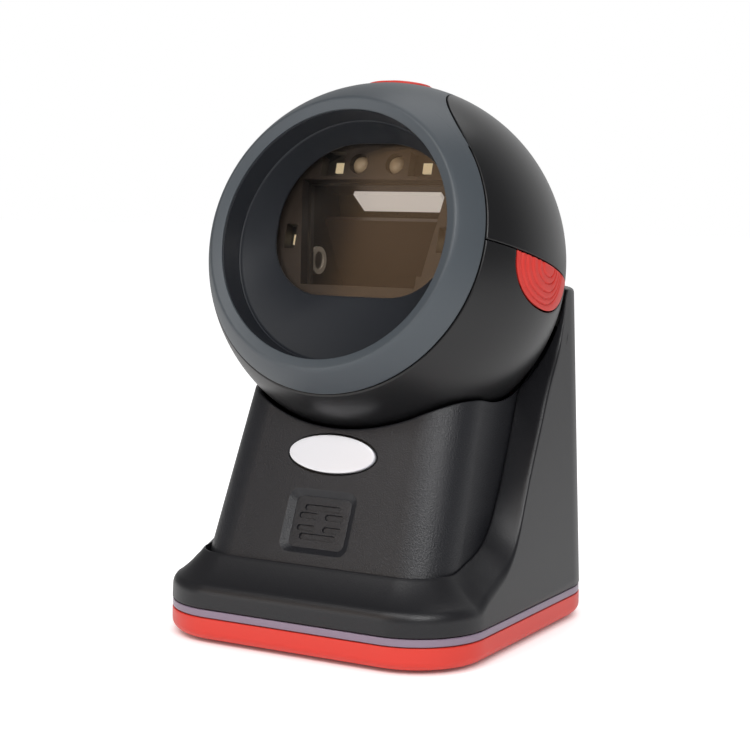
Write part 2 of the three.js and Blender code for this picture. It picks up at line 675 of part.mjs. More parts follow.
/** Side view of a grip in (y, up), grown by a margin: two joined quarter ovals under the seam. */
function gripOutline(margin) {
  const points = [];
  for (let i = 0; i <= 20; i++) {
    const angle = (i * Math.PI) / 20;
    const rear = angle > Math.PI / 2;
    const [reach, power] = rear ? [GRIP_REAR, 1] : [GRIP_FRONT, 2 / 2.3];
    const cosine = Math.sign(Math.cos(angle)) * Math.abs(Math.cos(angle)) ** power;
    points.push([-(reach + margin) * cosine, SEAM_UP - (GRIP_DEPTH + margin) * Math.sin(angle) ** power]);
  }
  points[0][1] = SEAM_UP + margin;
  points.at(-1)[1] = SEAM_UP + margin;
  return outline(points);
}

/** The two slots in the lower shell that clear the yoke arms over the whole tilt. */
function yokeSlot() {
  const armReach = Math.atan(YOKE_HALF_WIDTH / 38) / DEGREE;
  const from = YOKE_ANGLE + HEAD_TILT - TILT_DOWN - armReach - 1.5;
  const to = YOKE_ANGLE + HEAD_TILT + TILT_UP + armReach + 1.5;
  const fan = [[0, 0]];
  for (let i = 0; i <= 6; i++) {
    const angle = (from + ((to - from) * i) / 6) * DEGREE;
    fan.push([70 * Math.sin(angle), -70 * Math.cos(angle)]);
  }
  return solid(sideways(outline(fan), YOKE_X - 1.2, YOKE_X + YOKE_THICK + 1.2));
}

function lowerShell() {
  const below = solid(block([-60, -60, -60], [60, 60, SEAM_UP - GAP / 2]));
  let shell = ballWall().intersect(below).intersect(behind(RING_AHEAD - GAP / 2));
  const seat = solid(sideways(gripOutline(GAP / 2), 30, 60));
  const backing = solid(ahead(ball(BALL_RADIUS - GRIP_THICK - GAP)));
  const recess = cut(seat, backing);
  const slot = yokeSlot();
  shell = cut(shell, recess, mirrored(recess), slot, mirrored(slot));
  const inside = solid(ahead(ball(BALL_RADIUS - 1)));
  for (const side of [-1, 1]) {
    const pedestal = chassisPost(side, PEDESTAL_RADIUS, -60, CHASSIS_FLOOR - GAP).intersect(inside);
    const screwBore = chassisPost(side, CHASSIS_SCREW_RADIUS + GAP / 2, CHASSIS_FLOOR - 12, 0);
    shell = cut(join(shell, pedestal), screwBore);
    const boss = shellBoss(side, -60, SEAM_UP - GAP / 2, SHELL_BOSS_RADIUS).intersect(inside);
    const bore = shellBoss(side, -60, 10, SCREW_RADIUS + GAP);
    const counterbore = shellBoss(side, -60, SHELL_SCREW_SEAT, SCREW_RADIUS * SCREW_HEAD + GAP);
    shell = cut(join(shell, boss), bore, counterbore);
  }
  return part('lower_shell', shell, FINISH.shell);
}

function sideGrips() {
  const hull = cut(solid(ahead(ball(BALL_RADIUS))), solid(ahead(ball(BALL_RADIUS - GRIP_THICK))));
  const top = solid(block([-60, -60, -60], [60, 60, SEAM_UP - GAP / 2]));
  const grip = hull.intersect(solid(sideways(gripOutline(-GAP / 2), 30, 60))).intersect(top);
  return [part('side_grip_right', grip, FINISH.red), part('side_grip_left', mirrored(grip), FINISH.red)];
}

/** Upper face of the small board that carries the button's switch. */
const switchBoardTop = () => BALL_RADIUS - BUTTON_STEM - BUTTON_TRAVEL - SWITCH_HEIGHT - 2 * GAP;

/** Red button on top of the saddle, with the guide stem and the switch under it. */
function topButton() {
  const cap = cut(solid(ahead(ball(BALL_RADIUS + BUTTON_PROUD))), solid(ahead(ball(BALL_RADIUS - 1.6, 24))));
  const middle = -(BUTTON_FRONT + BUTTON_BACK) / 2;
  const stem = solid(post(2.2, BALL_RADIUS - BUTTON_STEM, BALL_RADIUS - 1.2).translate(0, middle, 0));
  const button = join(cap.intersect(buttonBlock(0, 20, 60)), stem);
  const boardTop = switchBoardTop();
  const low = boardTop + GAP;
  const switchBody = block([-3, middle - 3, low], [3, middle + 3, low + SWITCH_HEIGHT]);
  const half = SWITCH_POST_X + SWITCH_POST_RADIUS;
  const carrier = block([-half, middle - 9, boardTop - BOARD_THICK], [half, middle + 9, boardTop]);
  return [
    part('top_button', button, FINISH.red),
    part('button_switch', switchBody, FINISH.funnel),
    part('switch_board', carrier, FINISH.board),
  ];
}

/** Screws that close the two shells, and screws that hold the chassis on the lower shell's pedestals. */
function headScrews() {
  return [['left', -1], ['right', 1]].flatMap(([word, side]) => {
    const shellScrew = screwShape(SCREW_RADIUS, SHELL_SCREW_SEAT - GAP, SEAM_UP + 11);
    const chassisScrew = screwShape(CHASSIS_SCREW_RADIUS, 0, 10, 1.4).rotateX(Math.PI);
    const seat = CHASSIS_FLOOR + CHASSIS_WALL + GAP;
    return [
      part(`shell_screw_${word}`,
        shellScrew.translate(side * SHELL_SCREW_X, -SHELL_SCREW_AHEAD, 0), FINISH.steel),
      part(`chassis_screw_${word}`,
        chassisScrew.translate(side * CHASSIS_SCREW_X, -CHASSIS_SCREW_AHEAD, seat),
        FINISH.steel),
    ];
  });
}

/** Flanged nylon bushes in the chassis cheeks. */
function pivotBushes() {
  const bore = PIVOT_RADIUS + RUN;
  const [inner, cheek] = [CHASSIS_HALF_WIDTH - CHASSIS_WALL - 1, CHASSIS_HALF_WIDTH + RUN];
  const profile = [[bore, inner], [BUSH_RADIUS, inner], [BUSH_RADIUS, cheek], [BUSH_FLANGE, cheek],
    [BUSH_FLANGE, cheek + 1.6], [bore, cheek + 1.6], [bore, inner]];
  const bush = solid(turned(profile, 20).rotateY(Math.PI / 2));
  return [
    part('pivot_bush_right', bush, FINISH.nylon),
    part('pivot_bush_left', mirrored(bush), FINISH.nylon),
  ];
}

function head() {
  const group = new THREE.Group();
  group.add(
    frontBezel(), apertureFunnel(), scanWindow(), opticalFrame(), ledBoard(), ...lamps(),
    opticsChassis(), foldMirror(), lightPanel(), tabScrew(), ...camera(), ...decoderBoard(),
    upperShell(), lowerShell(), ...sideGrips(), ...topButton(), ...headScrews(), ...pivotBushes(),
  );
  group.position.set(0, BALL_Y, BALL_Z);
  group.rotation.x = -HEAD_TILT * DEGREE;
  return group;
}

// ---------------------------------------------------------------- pivot in the stand

/** Bent steel yoke: two arms that reach up into the ball and one foot plate in the base. */
function pivotYoke() {
  const [sine, cosine] = [Math.sin(YOKE_ANGLE * DEGREE), Math.cos(YOKE_ANGLE * DEGREE)];
  const along = (distance, offset) =>
    [BALL_Y + distance * sine + offset * cosine, BALL_Z - distance * cosine + offset * sine];
  const arm = new THREE.Shape();
  arm.moveTo(...along(0, YOKE_HALF_WIDTH + 1));
  arm.absarc(BALL_Y, BALL_Z, YOKE_HALF_WIDTH + 1, YOKE_ANGLE * DEGREE, (YOKE_ANGLE + 180) * DEGREE);
  arm.lineTo(...along(YOKE_BEND, -YOKE_HALF_WIDTH));
  arm.lineTo(YOKE_FOOT_FRONT, YOKE_FOOT_Z + YOKE_ANKLE);
  arm.lineTo(YOKE_FOOT_FRONT, YOKE_FOOT_Z);
  arm.lineTo(YOKE_FOOT_BACK, YOKE_FOOT_Z);
  const knee = along(YOKE_BEND, YOKE_HALF_WIDTH);
  arm.lineTo(YOKE_FOOT_BACK, knee[1] - (YOKE_FOOT_BACK - knee[0]));
  arm.lineTo(...knee);
  arm.holes.push(circle(BALL_Y, BALL_Z, PIVOT_RADIUS + GAP));
  const right = solid(sideways(arm, YOKE_X, YOKE_X + YOKE_THICK));
  const edge = YOKE_X + YOKE_THICK;
  const footTop = YOKE_FOOT_Z + YOKE_THICK;
  let foot = solid(block([-edge, YOKE_FOOT_FRONT, YOKE_FOOT_Z], [edge, YOKE_FOOT_BACK, footTop]));
  for (const [x, y] of yokeScrewPlaces()) {
    foot = cut(foot, solid(post(SCREW_RADIUS + GAP, YOKE_FOOT_Z - 1, YOKE_FOOT_Z + 5).translate(x, y, 0)));
  }
  return part('pivot_yoke', join(foot, right, mirrored(right)), FINISH.steel);
}

/** The four places where the yoke's foot is screwed down. */
function yokeScrewPlaces() {
  const places = [];
  for (const x of [-YOKE_SCREW_X, YOKE_SCREW_X]) {
    places.push([x, YOKE_FOOT_FRONT + YOKE_SCREW_INSET], [x, YOKE_FOOT_BACK - YOKE_SCREW_INSET]);
  }
  return places;
}

/** Shoulder pins through the yoke arms, and the friction washers that hold the tilt. */
function pivotPins() {
  const outer = YOKE_X + YOKE_THICK + GAP;
  const inner = CHASSIS_HALF_WIDTH - CHASSIS_WALL - 0.6;
  const flange = CHASSIS_HALF_WIDTH + RUN + 1.6;
  const profile = [[0, inner], [PIVOT_RADIUS, inner], [PIVOT_RADIUS, outer], [PIVOT_RADIUS + 2, outer],
    [PIVOT_RADIUS + 2, outer + 1.6], [0, outer + 1.6]];
  const pin = solid(turned(profile, 20).rotateY(Math.PI / 2).translate(0, BALL_Y, BALL_Z));
  const [from, to, bore] = [flange + GAP, YOKE_X - GAP, PIVOT_RADIUS + GAP];
  const ring = [[bore, from], [BUSH_FLANGE - 0.6, from], [BUSH_FLANGE - 0.6, to], [bore, to], [bore, from]];
  const washer = solid(turned(ring, 20).rotateY(Math.PI / 2).translate(0, BALL_Y, BALL_Z));
  return [
    part('pivot_pin_right', pin, FINISH.steel), part('pivot_pin_left', mirrored(pin), FINISH.steel),
    part('friction_washer_right', washer, FINISH.brass),
    part('friction_washer_left', mirrored(washer), FINISH.brass),
  ];
}

// ---------------------------------------------------------------- stand

/** The stand's rounded plan, moved in by an inset, as a ring of points at one height. */
function planRing(inset, z, segments = 5) {
  const shape = roundedRectangle(0, BASE_Y, 2 * (BASE_HALF_WIDTH - inset), 2 * (BASE_HALF_DEPTH - inset),
    Math.max(BASE_CORNER - inset, 2));
  return shape.extractPoints(segments).shape.map((p) => [p.x, p.y, z]);
}

/** Inset of the drafted outer wall at a height. */
const draftAt = (z) => Math.max(0, DRAFT * (z - SHELL_Z));

/** Everything under the sloping ledge that runs round the front, lowered by a wall. */
function underLedge(wall) {
  const slope = (LEDGE_TOP_Z - LIP_Z) / (LEDGE_INSET - 0.7);
  const reach = 6;
  return solid(skinned([
    planRing(-reach, -10),
    planRing(-reach, LIP_Z - slope * (reach + 0.7) - wall),
    planRing(LEDGE_INSET, LEDGE_TOP_Z - wall),
  ]));
}

/** Points (y, z) of the front edge of the side walls, and of the crease where the front cover meets them. */
const WALL_EDGE = [[-33, 14.6], [-26.7, 17.6], [-20.7, 20.2], [-14.4, 23.8], [-7.8, 32.1], [-0.8, 45.2],
  [6.1, 57.2], [13, 68.8], [20.5, 79.7], [25.3, 92], [27.4, 110]];
const CREASE = [[-33, 23.5], [-26.7, 24.7], [-20.7, 25.8], [-14.4, 28.2], [-7.8, 33.9], [-0.8, 44.2],
  [6.1, 56.4], [13, 68.4], [20.5, 79.7], [25.3, 92], [27.4, 110]];
const CREASE_X = 37;

/** The region behind the band that joins the side walls' front edge to the crease. */
function behindBand(shift) {
  const station = (curve, x) => [...curve, [70, 110], [70, 0], [-33, 0]]
    .map(([y, z], i) => [x, i < curve.length ? y + shift : y, z]);
  const slope = (BASE_HALF_WIDTH + 3 - CREASE_X) / (BASE_HALF_WIDTH - 1 - CREASE_X);
  const far = WALL_EDGE.map(([y, z], i) => [y, CREASE[i][1] + (z - CREASE[i][1]) * slope]);
  const half = BASE_HALF_WIDTH + 3;
  const [left, right] = [[station(far, -half), station(CREASE, -CREASE_X)],
    [station(CREASE, CREASE_X), station(far, half)]];
  return solid(skinned([...left, ...right]));
}

/** The stand's form moved in by a wall: a drafted plan under the ledge and behind the band. */
function standForm(wall) {
  const top = STAND_TOP_Z - wall;
  const drafted = solid(skinned([planRing(wall, SHELL_Z - 2 * wall), planRing(wall + draftAt(top), top)]));
  const dip = new THREE.Shape();
  dip.moveTo(-DIP_HALF_WIDTH, STAND_TOP_Z + 5);
  for (let i = 0; i <= 12; i++) {
    const x = -DIP_HALF_WIDTH + (2 * DIP_HALF_WIDTH * i) / 12;
    const depth = ((STAND_TOP_Z - DIP_Z) * (1 + Math.cos((Math.PI * x) / DIP_HALF_WIDTH))) / 2;
    dip.lineTo(x, STAND_TOP_Z - wall - depth);
  }
  dip.lineTo(DIP_HALF_WIDTH, STAND_TOP_Z + 5);
  const valley = solid(slab(dip, -70, 0).rotateX(Math.PI / 2));
  return cut(drafted.intersect(join(underLedge(wall), behindBand(wall))), valley);
}

/** A horizontal section of the front cover's outer form: bowed front, round corners, open back. */
function coverRing(z, inset) {
  const front = COVER_Y + (z - LEDGE_TOP_Z) * Math.tan(COVER_LEAN * DEGREE) + inset;
  const half = COVER_HALF_WIDTH - COVER_NARROWING * (z - LEDGE_TOP_Z) - inset;
  const corner = COVER_CORNER - inset;
  const flat = half - corner;
  const points = [];
  for (let i = 0; i <= 6; i++) {
    const x = -flat + (2 * flat * i) / 6;
    points.push([x, front + COVER_BOW * (x / half) ** 2, z]);
  }
  const side = front + COVER_BOW * (flat / half) ** 2 + corner;
  for (let i = 1; i <= 6; i++) {
    const angle = (i * Math.PI) / 12;
    points.push([flat + corner * Math.sin(angle), side - corner * Math.cos(angle), z]);
  }
  points.push([half, 30, z], [-half, 30, z]);
  for (let i = 6; i >= 1; i--) {
    const angle = (i * Math.PI) / 12;
    points.push([-flat - corner * Math.sin(angle), side - corner * Math.cos(angle), z]);
  }
  return points;
}

/** Solid form of the front cover between two heights, moved in by an inset. */
const coverForm = (inset, low = LEDGE_TOP_Z - 8, high = BALL_Z - 26) =>
  solid(skinned([coverRing(low, inset), coverRing(high, inset)]));

/** The ball's place in the stand. */
const standBall = (radius, segments = 36) => solid(ball(radius, segments).translate(0, BALL_Y, BALL_Z));

/** Placement of things that lie in the front cover's sloping face. */
const onCover = (geometry) => geometry.rotateX(-COVER_LEAN * DEGREE).translate(0, COVER_Y, LEDGE_TOP_Z);

/** A shape drawn in (x, up the slope) that reaches from a depth to a height above the cover's face. */
const coverSlab = (shape, inward, outward) => onCover(ahead(slab(shape, -inward, outward, 3)));

/** Slots through the cup for the yoke arms. */
function cupSlot() {
  const [low, high] = [YOKE_X - 1, YOKE_X + YOKE_THICK + 1];
  const slot = block([low, -8, -CUP_RADIUS], [high, 8, 0]);
  return solid(slot.rotateX(YOKE_ANGLE * DEGREE).translate(0, BALL_Y, BALL_Z));
}

function baseScrewPlaces() {
  const places = [];
  for (const x of [-BASE_SCREW_X, BASE_SCREW_X]) {
    for (const y of [BASE_Y - BASE_SCREW_Y, BASE_Y + BASE_SCREW_Y]) places.push([x, y]);
  }
  return places;
}

function standShell() {
  const outer = standForm(0);
  const inner = standForm(STAND_WALL);
  const doorway = coverForm(COVER_WALL + 2, SHELL_Z);
  let shell = cut(outer, inner, doorway);
  const cupWall = standBall(CUP_OUTER, 24);
  shell = join(shell, cupWall.intersect(join(inner, coverForm(COVER_WALL + GAP))));
  for (const [x, y] of baseScrewPlaces()) {
    const boss = solid(post(BASE_BOSS_RADIUS, BASE_PLATE_Z + BASE_FLOOR + GAP, LIP_Z + 6).translate(x, y, 0));
    const ribEnd = x + Math.sign(x) * (BASE_HALF_WIDTH - BASE_SCREW_X);
    const rib = solid(block([Math.min(x, ribEnd), y - RIB_THICK / 2, SHELL_Z + 2],
      [Math.max(x, ribEnd), y + RIB_THICK / 2, LIP_Z + 4]));
    shell = join(shell, boss, rib.intersect(outer));
    shell = cut(shell, solid(post(SCREW_RADIUS + GAP / 2, 0, LIP_Z + 3).translate(x, y, 0)));
  }
  const slot = cupSlot();
  const socketHole = solid(block([-SOCKET_WIDTH / 2 - GAP, 30, SOCKET_Z - GAP],
    [SOCKET_WIDTH / 2 + GAP, 60, SOCKET_Z + SOCKET_HEIGHT + GAP]));
  const mouth = standBall(CUP_RADIUS);
  return part('stand_shell', cut(shell, mouth, slot, mirrored(slot), socketHole), FINISH.shell);
}

function frontCover() {
  const band = join(underLedge(-GAP), behindBand(-GAP));
  let cover = cut(coverForm(0), coverForm(COVER_WALL), standBall(CUP_RADIUS), band);
  const badgeSeat = solid(coverSlab(badgeOutline(GAP), BADGE_SUNK + GAP, 10));
  const grilleHole = solid(coverSlab(grilleOutline(0), 10, 10));
  cover = cut(cover, badgeSeat, grilleHole);
  return part('front_cover', cover, FINISH.grain);
}

/** Oval outline of the blank badge, grown by a margin. */
function badgeOutline(margin) {
  const shape = new THREE.Shape();
  shape.absellipse(0, BADGE_UP, BADGE_WIDTH / 2 + margin, BADGE_HEIGHT / 2 + margin, 0, 2 * Math.PI);
  return shape;
}

const badge = () => part('badge', coverSlab(badgeOutline(0), BADGE_SUNK, BADGE_PROUD), FINISH.badge);

const grilleOutline = (inset) => roundedRectangle(0, GRILLE_UP, GRILLE_WIDTH - 2 * inset,
  GRILLE_HEIGHT - 2 * inset, GRILLE_CORNER - inset);

/** Slotted grille in the cover's square hole, held by a flange behind the cover. */
function speakerGrille() {
  const face = solid(coverSlab(grilleOutline(GAP), COVER_WALL + 1.6, -GRILLE_SUNK));
  const flange = roundedRectangle(0, GRILLE_UP, GRILLE_WIDTH + 3, GRILLE_HEIGHT + 1.4, GRILLE_CORNER);
  const back = solid(coverSlab(flange, COVER_WALL + 1.6, -COVER_WALL - 0.5));
  let grille = join(face, back);
  for (const side of [-1, 1]) {
    const slots = [[0, LONG_SLOT_UP, LONG_SLOT],
      [-SHORT_SLOT_X, SHORT_SLOT_UP, SHORT_SLOT], [SHORT_SLOT_X, SHORT_SLOT_UP, SHORT_SLOT]];
    for (const [x, up, length] of slots) {
      const slot = rectangle(x, GRILLE_UP + side * up, length, SLOT_WIDTH);
      grille = cut(grille, solid(coverSlab(slot, 12, 5)));
    }
  }
  return part('speaker_grille', grille, FINISH.grain);
}

function speaker() {
  const back = -COVER_WALL - 1.6 - GAP;
  const profile = [[0, back - SPEAKER_DEPTH], [SPEAKER_RADIUS * 0.6, back - SPEAKER_DEPTH],
    [SPEAKER_RADIUS, back - SPEAKER_DEPTH * 0.5], [SPEAKER_RADIUS, back], [0, back]];
  return part('speaker', solid(onCover(ahead(turned(profile, 20)).translate(0, 0, GRILLE_UP))), FINISH.steel);
}

/** Translucent band between the stand and its red base. */
function lightStrip() {
  const ring = (inset, z) => planRing(inset, z);
  const band = skinned([ring(0.1, BASE_PLATE_TOP + GAP), ring(0.1, STRIP_TOP)]);
  const inner = skinned([ring(3, BASE_PLATE_TOP - 1), ring(3, STRIP_TOP + 1)]);
  return part('light_strip', cut(solid(band), solid(inner)), FINISH.strip);
}

function footPlaces() {
  const places = [];
  for (const [word, y] of [['front', BASE_Y - FOOT_FROM_MIDDLE], ['rear', BASE_Y + FOOT_FROM_MIDDLE]]) {
    for (const [side, x] of [['left', -FOOT_X], ['right', FOOT_X]]) places.push([`${word}_${side}`, x, y]);
  }
  return places;
}

/** Red tray that closes the stand from below, with posts for the yoke and the interface board. */
function basePlate() {
  const form = solid(skinned([
    planRing(BASE_EDGE_INSET, BASE_PLATE_Z), planRing(0.5, BASE_PLATE_Z + 1.6),
    planRing(0, BASE_PLATE_Z + 3), planRing(0, BASE_PLATE_TOP),
  ]));
  const rims = [BASE_PLATE_Z + BASE_FLOOR, BASE_PLATE_TOP + 1].map((z) => planRing(STAND_WALL, z));
  const well = solid(skinned(rims));
  let tray = cut(form, well);
  const floorTop = BASE_PLATE_Z + BASE_FLOOR;
  for (const [x, y] of yokeScrewPlaces()) {
    tray = join(tray, solid(post(BASE_BOSS_RADIUS, floorTop - 1, YOKE_FOOT_Z - GAP).translate(x, y, 0)));
    const bore = post(SCREW_RADIUS + GAP / 2, YOKE_FOOT_Z - 12, YOKE_FOOT_Z + 1);
    tray = cut(tray, solid(bore.translate(x, y, 0)));
  }
  for (const [x, y] of baseScrewPlaces()) {
    tray = cut(tray, solid(post(SCREW_RADIUS + GAP, -1, 10).translate(x, y, 0)));
    const seat = post(SCREW_RADIUS * SCREW_HEAD + GAP, -1, BASE_PLATE_Z + COUNTERBORE);
    tray = cut(tray, solid(seat.translate(x, y, 0)));
  }
  for (const [, x, y] of footPlaces()) {
    const recess = post(FOOT_RADIUS + GAP, -1, BASE_PLATE_Z + FOOT_RECESS + GAP, 16);
    tray = cut(tray, solid(recess.translate(x, y, 0)));
  }
  return part('base_plate', tray, FINISH.red);
}

const feet = () => footPlaces().map(([word, x, y]) =>
  part(`foot_${word}`,
    post(FOOT_RADIUS, 0, BASE_PLATE_Z + FOOT_RECESS, 16).translate(x, y, 0), FINISH.rubber));

function ballast() {
  const z = BASE_PLATE_Z + BASE_FLOOR + GAP;
  const shape = roundedRectangle(0, BALLAST_Y, BALLAST_WIDTH, BALLAST_DEPTH, 4);
  return part('ballast_plate', slab(shape, z, z + BALLAST_THICK, 3), FINISH.steel);
}

/** Interface board with the cable socket on its back edge and the header for the head's lead. */
function interfaceBoard() {
  const back = BASE_Y + BASE_HALF_DEPTH - draftAt(SOCKET_Z) - 1;
  const board = block([-INTERFACE_WIDTH / 2, back - INTERFACE_DEPTH, INTERFACE_Z],
    [INTERFACE_WIDTH / 2, back - 2, INTERFACE_Z + BOARD_THICK]);
  const half = SOCKET_WIDTH / 2;
  const shell = solid(block([-half, back - SOCKET_DEPTH, SOCKET_Z], [half, back, SOCKET_Z + SOCKET_HEIGHT]));
  const hole = solid(block([-half + SOCKET_WALL, back - SOCKET_DEPTH + SOCKET_WALL, SOCKET_Z + SOCKET_WALL],
    [half - SOCKET_WALL, back + 1, SOCKET_Z + SOCKET_HEIGHT - SOCKET_WALL]));
  const headerLow = INTERFACE_Z + BOARD_THICK + GAP;
  const front = back - INTERFACE_DEPTH;
  const header = block([-15, front + 2, headerLow], [-1, front + 7, headerLow + 5]);
  return [
    part('interface_board', board, FINISH.board),
    part('cable_socket', cut(shell, hole), FINISH.funnel),
    part('base_lead_header', header, FINISH.nylon),
  ];
}

function standScrews() {
  const seat = BASE_PLATE_Z + COUNTERBORE - GAP;
  const base = baseScrewPlaces().map(([x, y], i) => part(`base_screw_${i + 1}`,
    screwShape(SCREW_RADIUS, seat, LIP_Z + 2, 1).translate(x, y, 0), FINISH.steel));
  const footTop = YOKE_FOOT_Z + YOKE_THICK + GAP;
  const yoke = yokeScrewPlaces().map(([x, y], i) => part(`yoke_screw_${i + 1}`,
    screwShape(SCREW_RADIUS, 0, 11).rotateX(Math.PI).translate(x, y, footTop), FINISH.steel));
  return [...base, ...yoke];
}

// ---------------------------------------------------------------- assembly
const scanner = new THREE.Group();
scanner.add(
  head(), pivotYoke(), ...pivotPins(), standShell(), frontCover(), badge(), speakerGrille(), speaker(),
  lightStrip(), basePlate(), ...feet(), ballast(), ...interfaceBoard(), ...standScrews(),
);

export default scanner;
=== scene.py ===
"""Desktop presentation barcode scanner: a ball-shaped reading head that tilts in a weighted stand.

The fixed frame holds every sub-part. This script gives each one its finish, and puts smoother pieces in
place of the outer mouldings. Lengths are in millimetres until a mesh is made. Head pieces are described
from the ball's centre in (x, ahead, up), where "ahead" runs along the reading axis.
"""

import json
import logging
import math
from dataclasses import dataclass, field
from enum import Enum

import bmesh
import bpy
import numpy as np
from mathutils import Matrix, Vector

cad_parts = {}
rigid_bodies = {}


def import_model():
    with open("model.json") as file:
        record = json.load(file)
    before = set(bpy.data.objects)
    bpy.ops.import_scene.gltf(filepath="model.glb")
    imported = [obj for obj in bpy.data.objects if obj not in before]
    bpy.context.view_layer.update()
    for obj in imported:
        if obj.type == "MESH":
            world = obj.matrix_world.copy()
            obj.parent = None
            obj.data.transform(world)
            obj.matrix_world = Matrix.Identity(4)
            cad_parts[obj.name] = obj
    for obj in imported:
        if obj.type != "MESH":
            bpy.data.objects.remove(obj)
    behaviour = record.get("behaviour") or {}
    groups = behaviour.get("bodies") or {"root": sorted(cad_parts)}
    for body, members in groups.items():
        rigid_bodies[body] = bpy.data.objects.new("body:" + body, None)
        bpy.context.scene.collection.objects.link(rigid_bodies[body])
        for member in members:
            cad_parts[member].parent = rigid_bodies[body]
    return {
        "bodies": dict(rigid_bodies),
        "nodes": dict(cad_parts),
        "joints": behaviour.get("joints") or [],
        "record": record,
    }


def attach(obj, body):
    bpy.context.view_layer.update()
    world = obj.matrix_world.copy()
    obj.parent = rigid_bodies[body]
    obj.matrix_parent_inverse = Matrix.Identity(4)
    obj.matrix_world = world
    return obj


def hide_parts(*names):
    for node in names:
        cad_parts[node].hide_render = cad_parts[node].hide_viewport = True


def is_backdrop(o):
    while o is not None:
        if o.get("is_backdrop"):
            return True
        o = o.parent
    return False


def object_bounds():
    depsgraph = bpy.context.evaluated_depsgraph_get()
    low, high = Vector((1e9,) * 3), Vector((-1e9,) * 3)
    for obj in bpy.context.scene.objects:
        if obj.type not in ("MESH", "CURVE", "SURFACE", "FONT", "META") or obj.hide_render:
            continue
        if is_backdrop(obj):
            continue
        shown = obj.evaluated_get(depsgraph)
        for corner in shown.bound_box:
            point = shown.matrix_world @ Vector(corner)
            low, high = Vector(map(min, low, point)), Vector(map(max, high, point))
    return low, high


LOG = logging.getLogger("scanner")
MM = 0.001
Array = np.ndarray


# ---------------------------------------------------------------- sizes
@dataclass(frozen=True)
class BallSize:
    """The ball-shaped head."""

    radius: float = 50.0
    centre_y: float = 0.5
    centre_z: float = 102.0
    tilt: float = 16.1
    wall: float = 2.4
    seam: float = 1.0
    ring_ahead: float = 26.1
    gap: float = 0.3
    rim: float = 0.32

    def to_row(self, points: Array) -> Array:
        """Turn points of (x, ahead, up) into the row frame."""
        sine, cosine = math.sin(math.radians(self.tilt)), math.cos(math.radians(self.tilt))
        x, ahead, up = points[..., 0], points[..., 1], points[..., 2]
        y = self.centre_y - ahead * cosine + up * sine
        z = self.centre_z + ahead * sine + up * cosine
        return np.stack([x, y, z], axis=-1)

    def ring_radius(self, ahead: Array | float) -> Array:
        """Radius of the ball's section square to the reading axis."""
        return np.sqrt(np.maximum(self.radius**2 - np.asarray(ahead, float) ** 2, 0.0))


@dataclass(frozen=True)
class StandSize:
    """The stand, its cover and its base."""

    middle_y: float = -1.3
    half_width: float = 47.25
    half_depth: float = 49.2
    corner: float = 20.5
    draft: float = 0.04
    foot_z: float = 1.0
    plate_top: float = 7.2
    strip_top: float = 9.4
    shell_z: float = 9.7
    lip_z: float = 15.0
    ledge_z: float = 23.5
    ledge_inset: float = 8.7
    top_z: float = 96.0
    cup_radius: float = 51.0
    dip_z: float = 71.0
    dip_half_width: float = 33.0
    cover_lean: float = 23.0
    cover_y: float = -40.5
    cover_half_width: float = 38.0
    cover_narrowing: float = 0.057
    cover_corner: float = 13.5
    cover_bow: float = 1.5
    cover_wall: float = 2.4
    cover_back_y: float = 34.0
    cover_foot: float = 3.5
    cover_top_z: float = 80.0
    cover_rim: float = 0.9
    badge_up: float = 30.2
    grille_up: float = 11.4


@dataclass(frozen=True)
class ButtonSize:
    """Plan of the top button, in (x, ahead), and how far it stands proud of the ball."""

    half_width: float = 9.5
    front: float = 15.5
    back: float = -16.0
    corner: float = 7.6
    middle: float = -2.0
    proud: float = 0.6
    gap: float = 0.4


@dataclass(frozen=True)
class WindowSize:
    """Outline of the scan window, in (x, up), and how far ahead the funnel's edge and foot are."""

    half_width: float = 27.6
    top: float = 29.7
    bottom: float = -13.5
    top_corner: float = 23.5
    bottom_corner: float = 17.0
    edge_ahead: float = 16.2
    foot_ahead: float = 15.75
    foot_overlap: float = 1.8


@dataclass(frozen=True)
class LampSize:
    """A dome lamp: a short round stem with a domed end."""

    x: float = 5.7
    up: float = 24.5
    radius: float = 2.6
    back: float = 9.1
    shoulder: float = 11.8
    dome: float = 2.4


BALL = BallSize()
STAND = StandSize()
BUTTON = ButtonSize()
WINDOW = WindowSize()
LAMP = LampSize()
BALL_CENTRE = np.array([0, BALL.centre_y, BALL.centre_z])


# ---------------------------------------------------------------- finishes
class Surface(Enum):
    """How a material's fine texture is made."""

    PLAIN = "plain"
    GRAIN = "grain"
    BRUSHED = "brushed"


@dataclass(frozen=True)
class Finish:
    """One procedural material."""

    color: tuple[float, float, float]
    roughness: float
    metallic: float = 0.0
    surface: Surface = Surface.PLAIN
    grain: float = 0.0
    cell: float = 0.6
    coat: float = 0.0
    specular: float = 0.5
    # painted light: emission in the material's own colour, for parts that give no light here
    painted_glow: float = 0.0


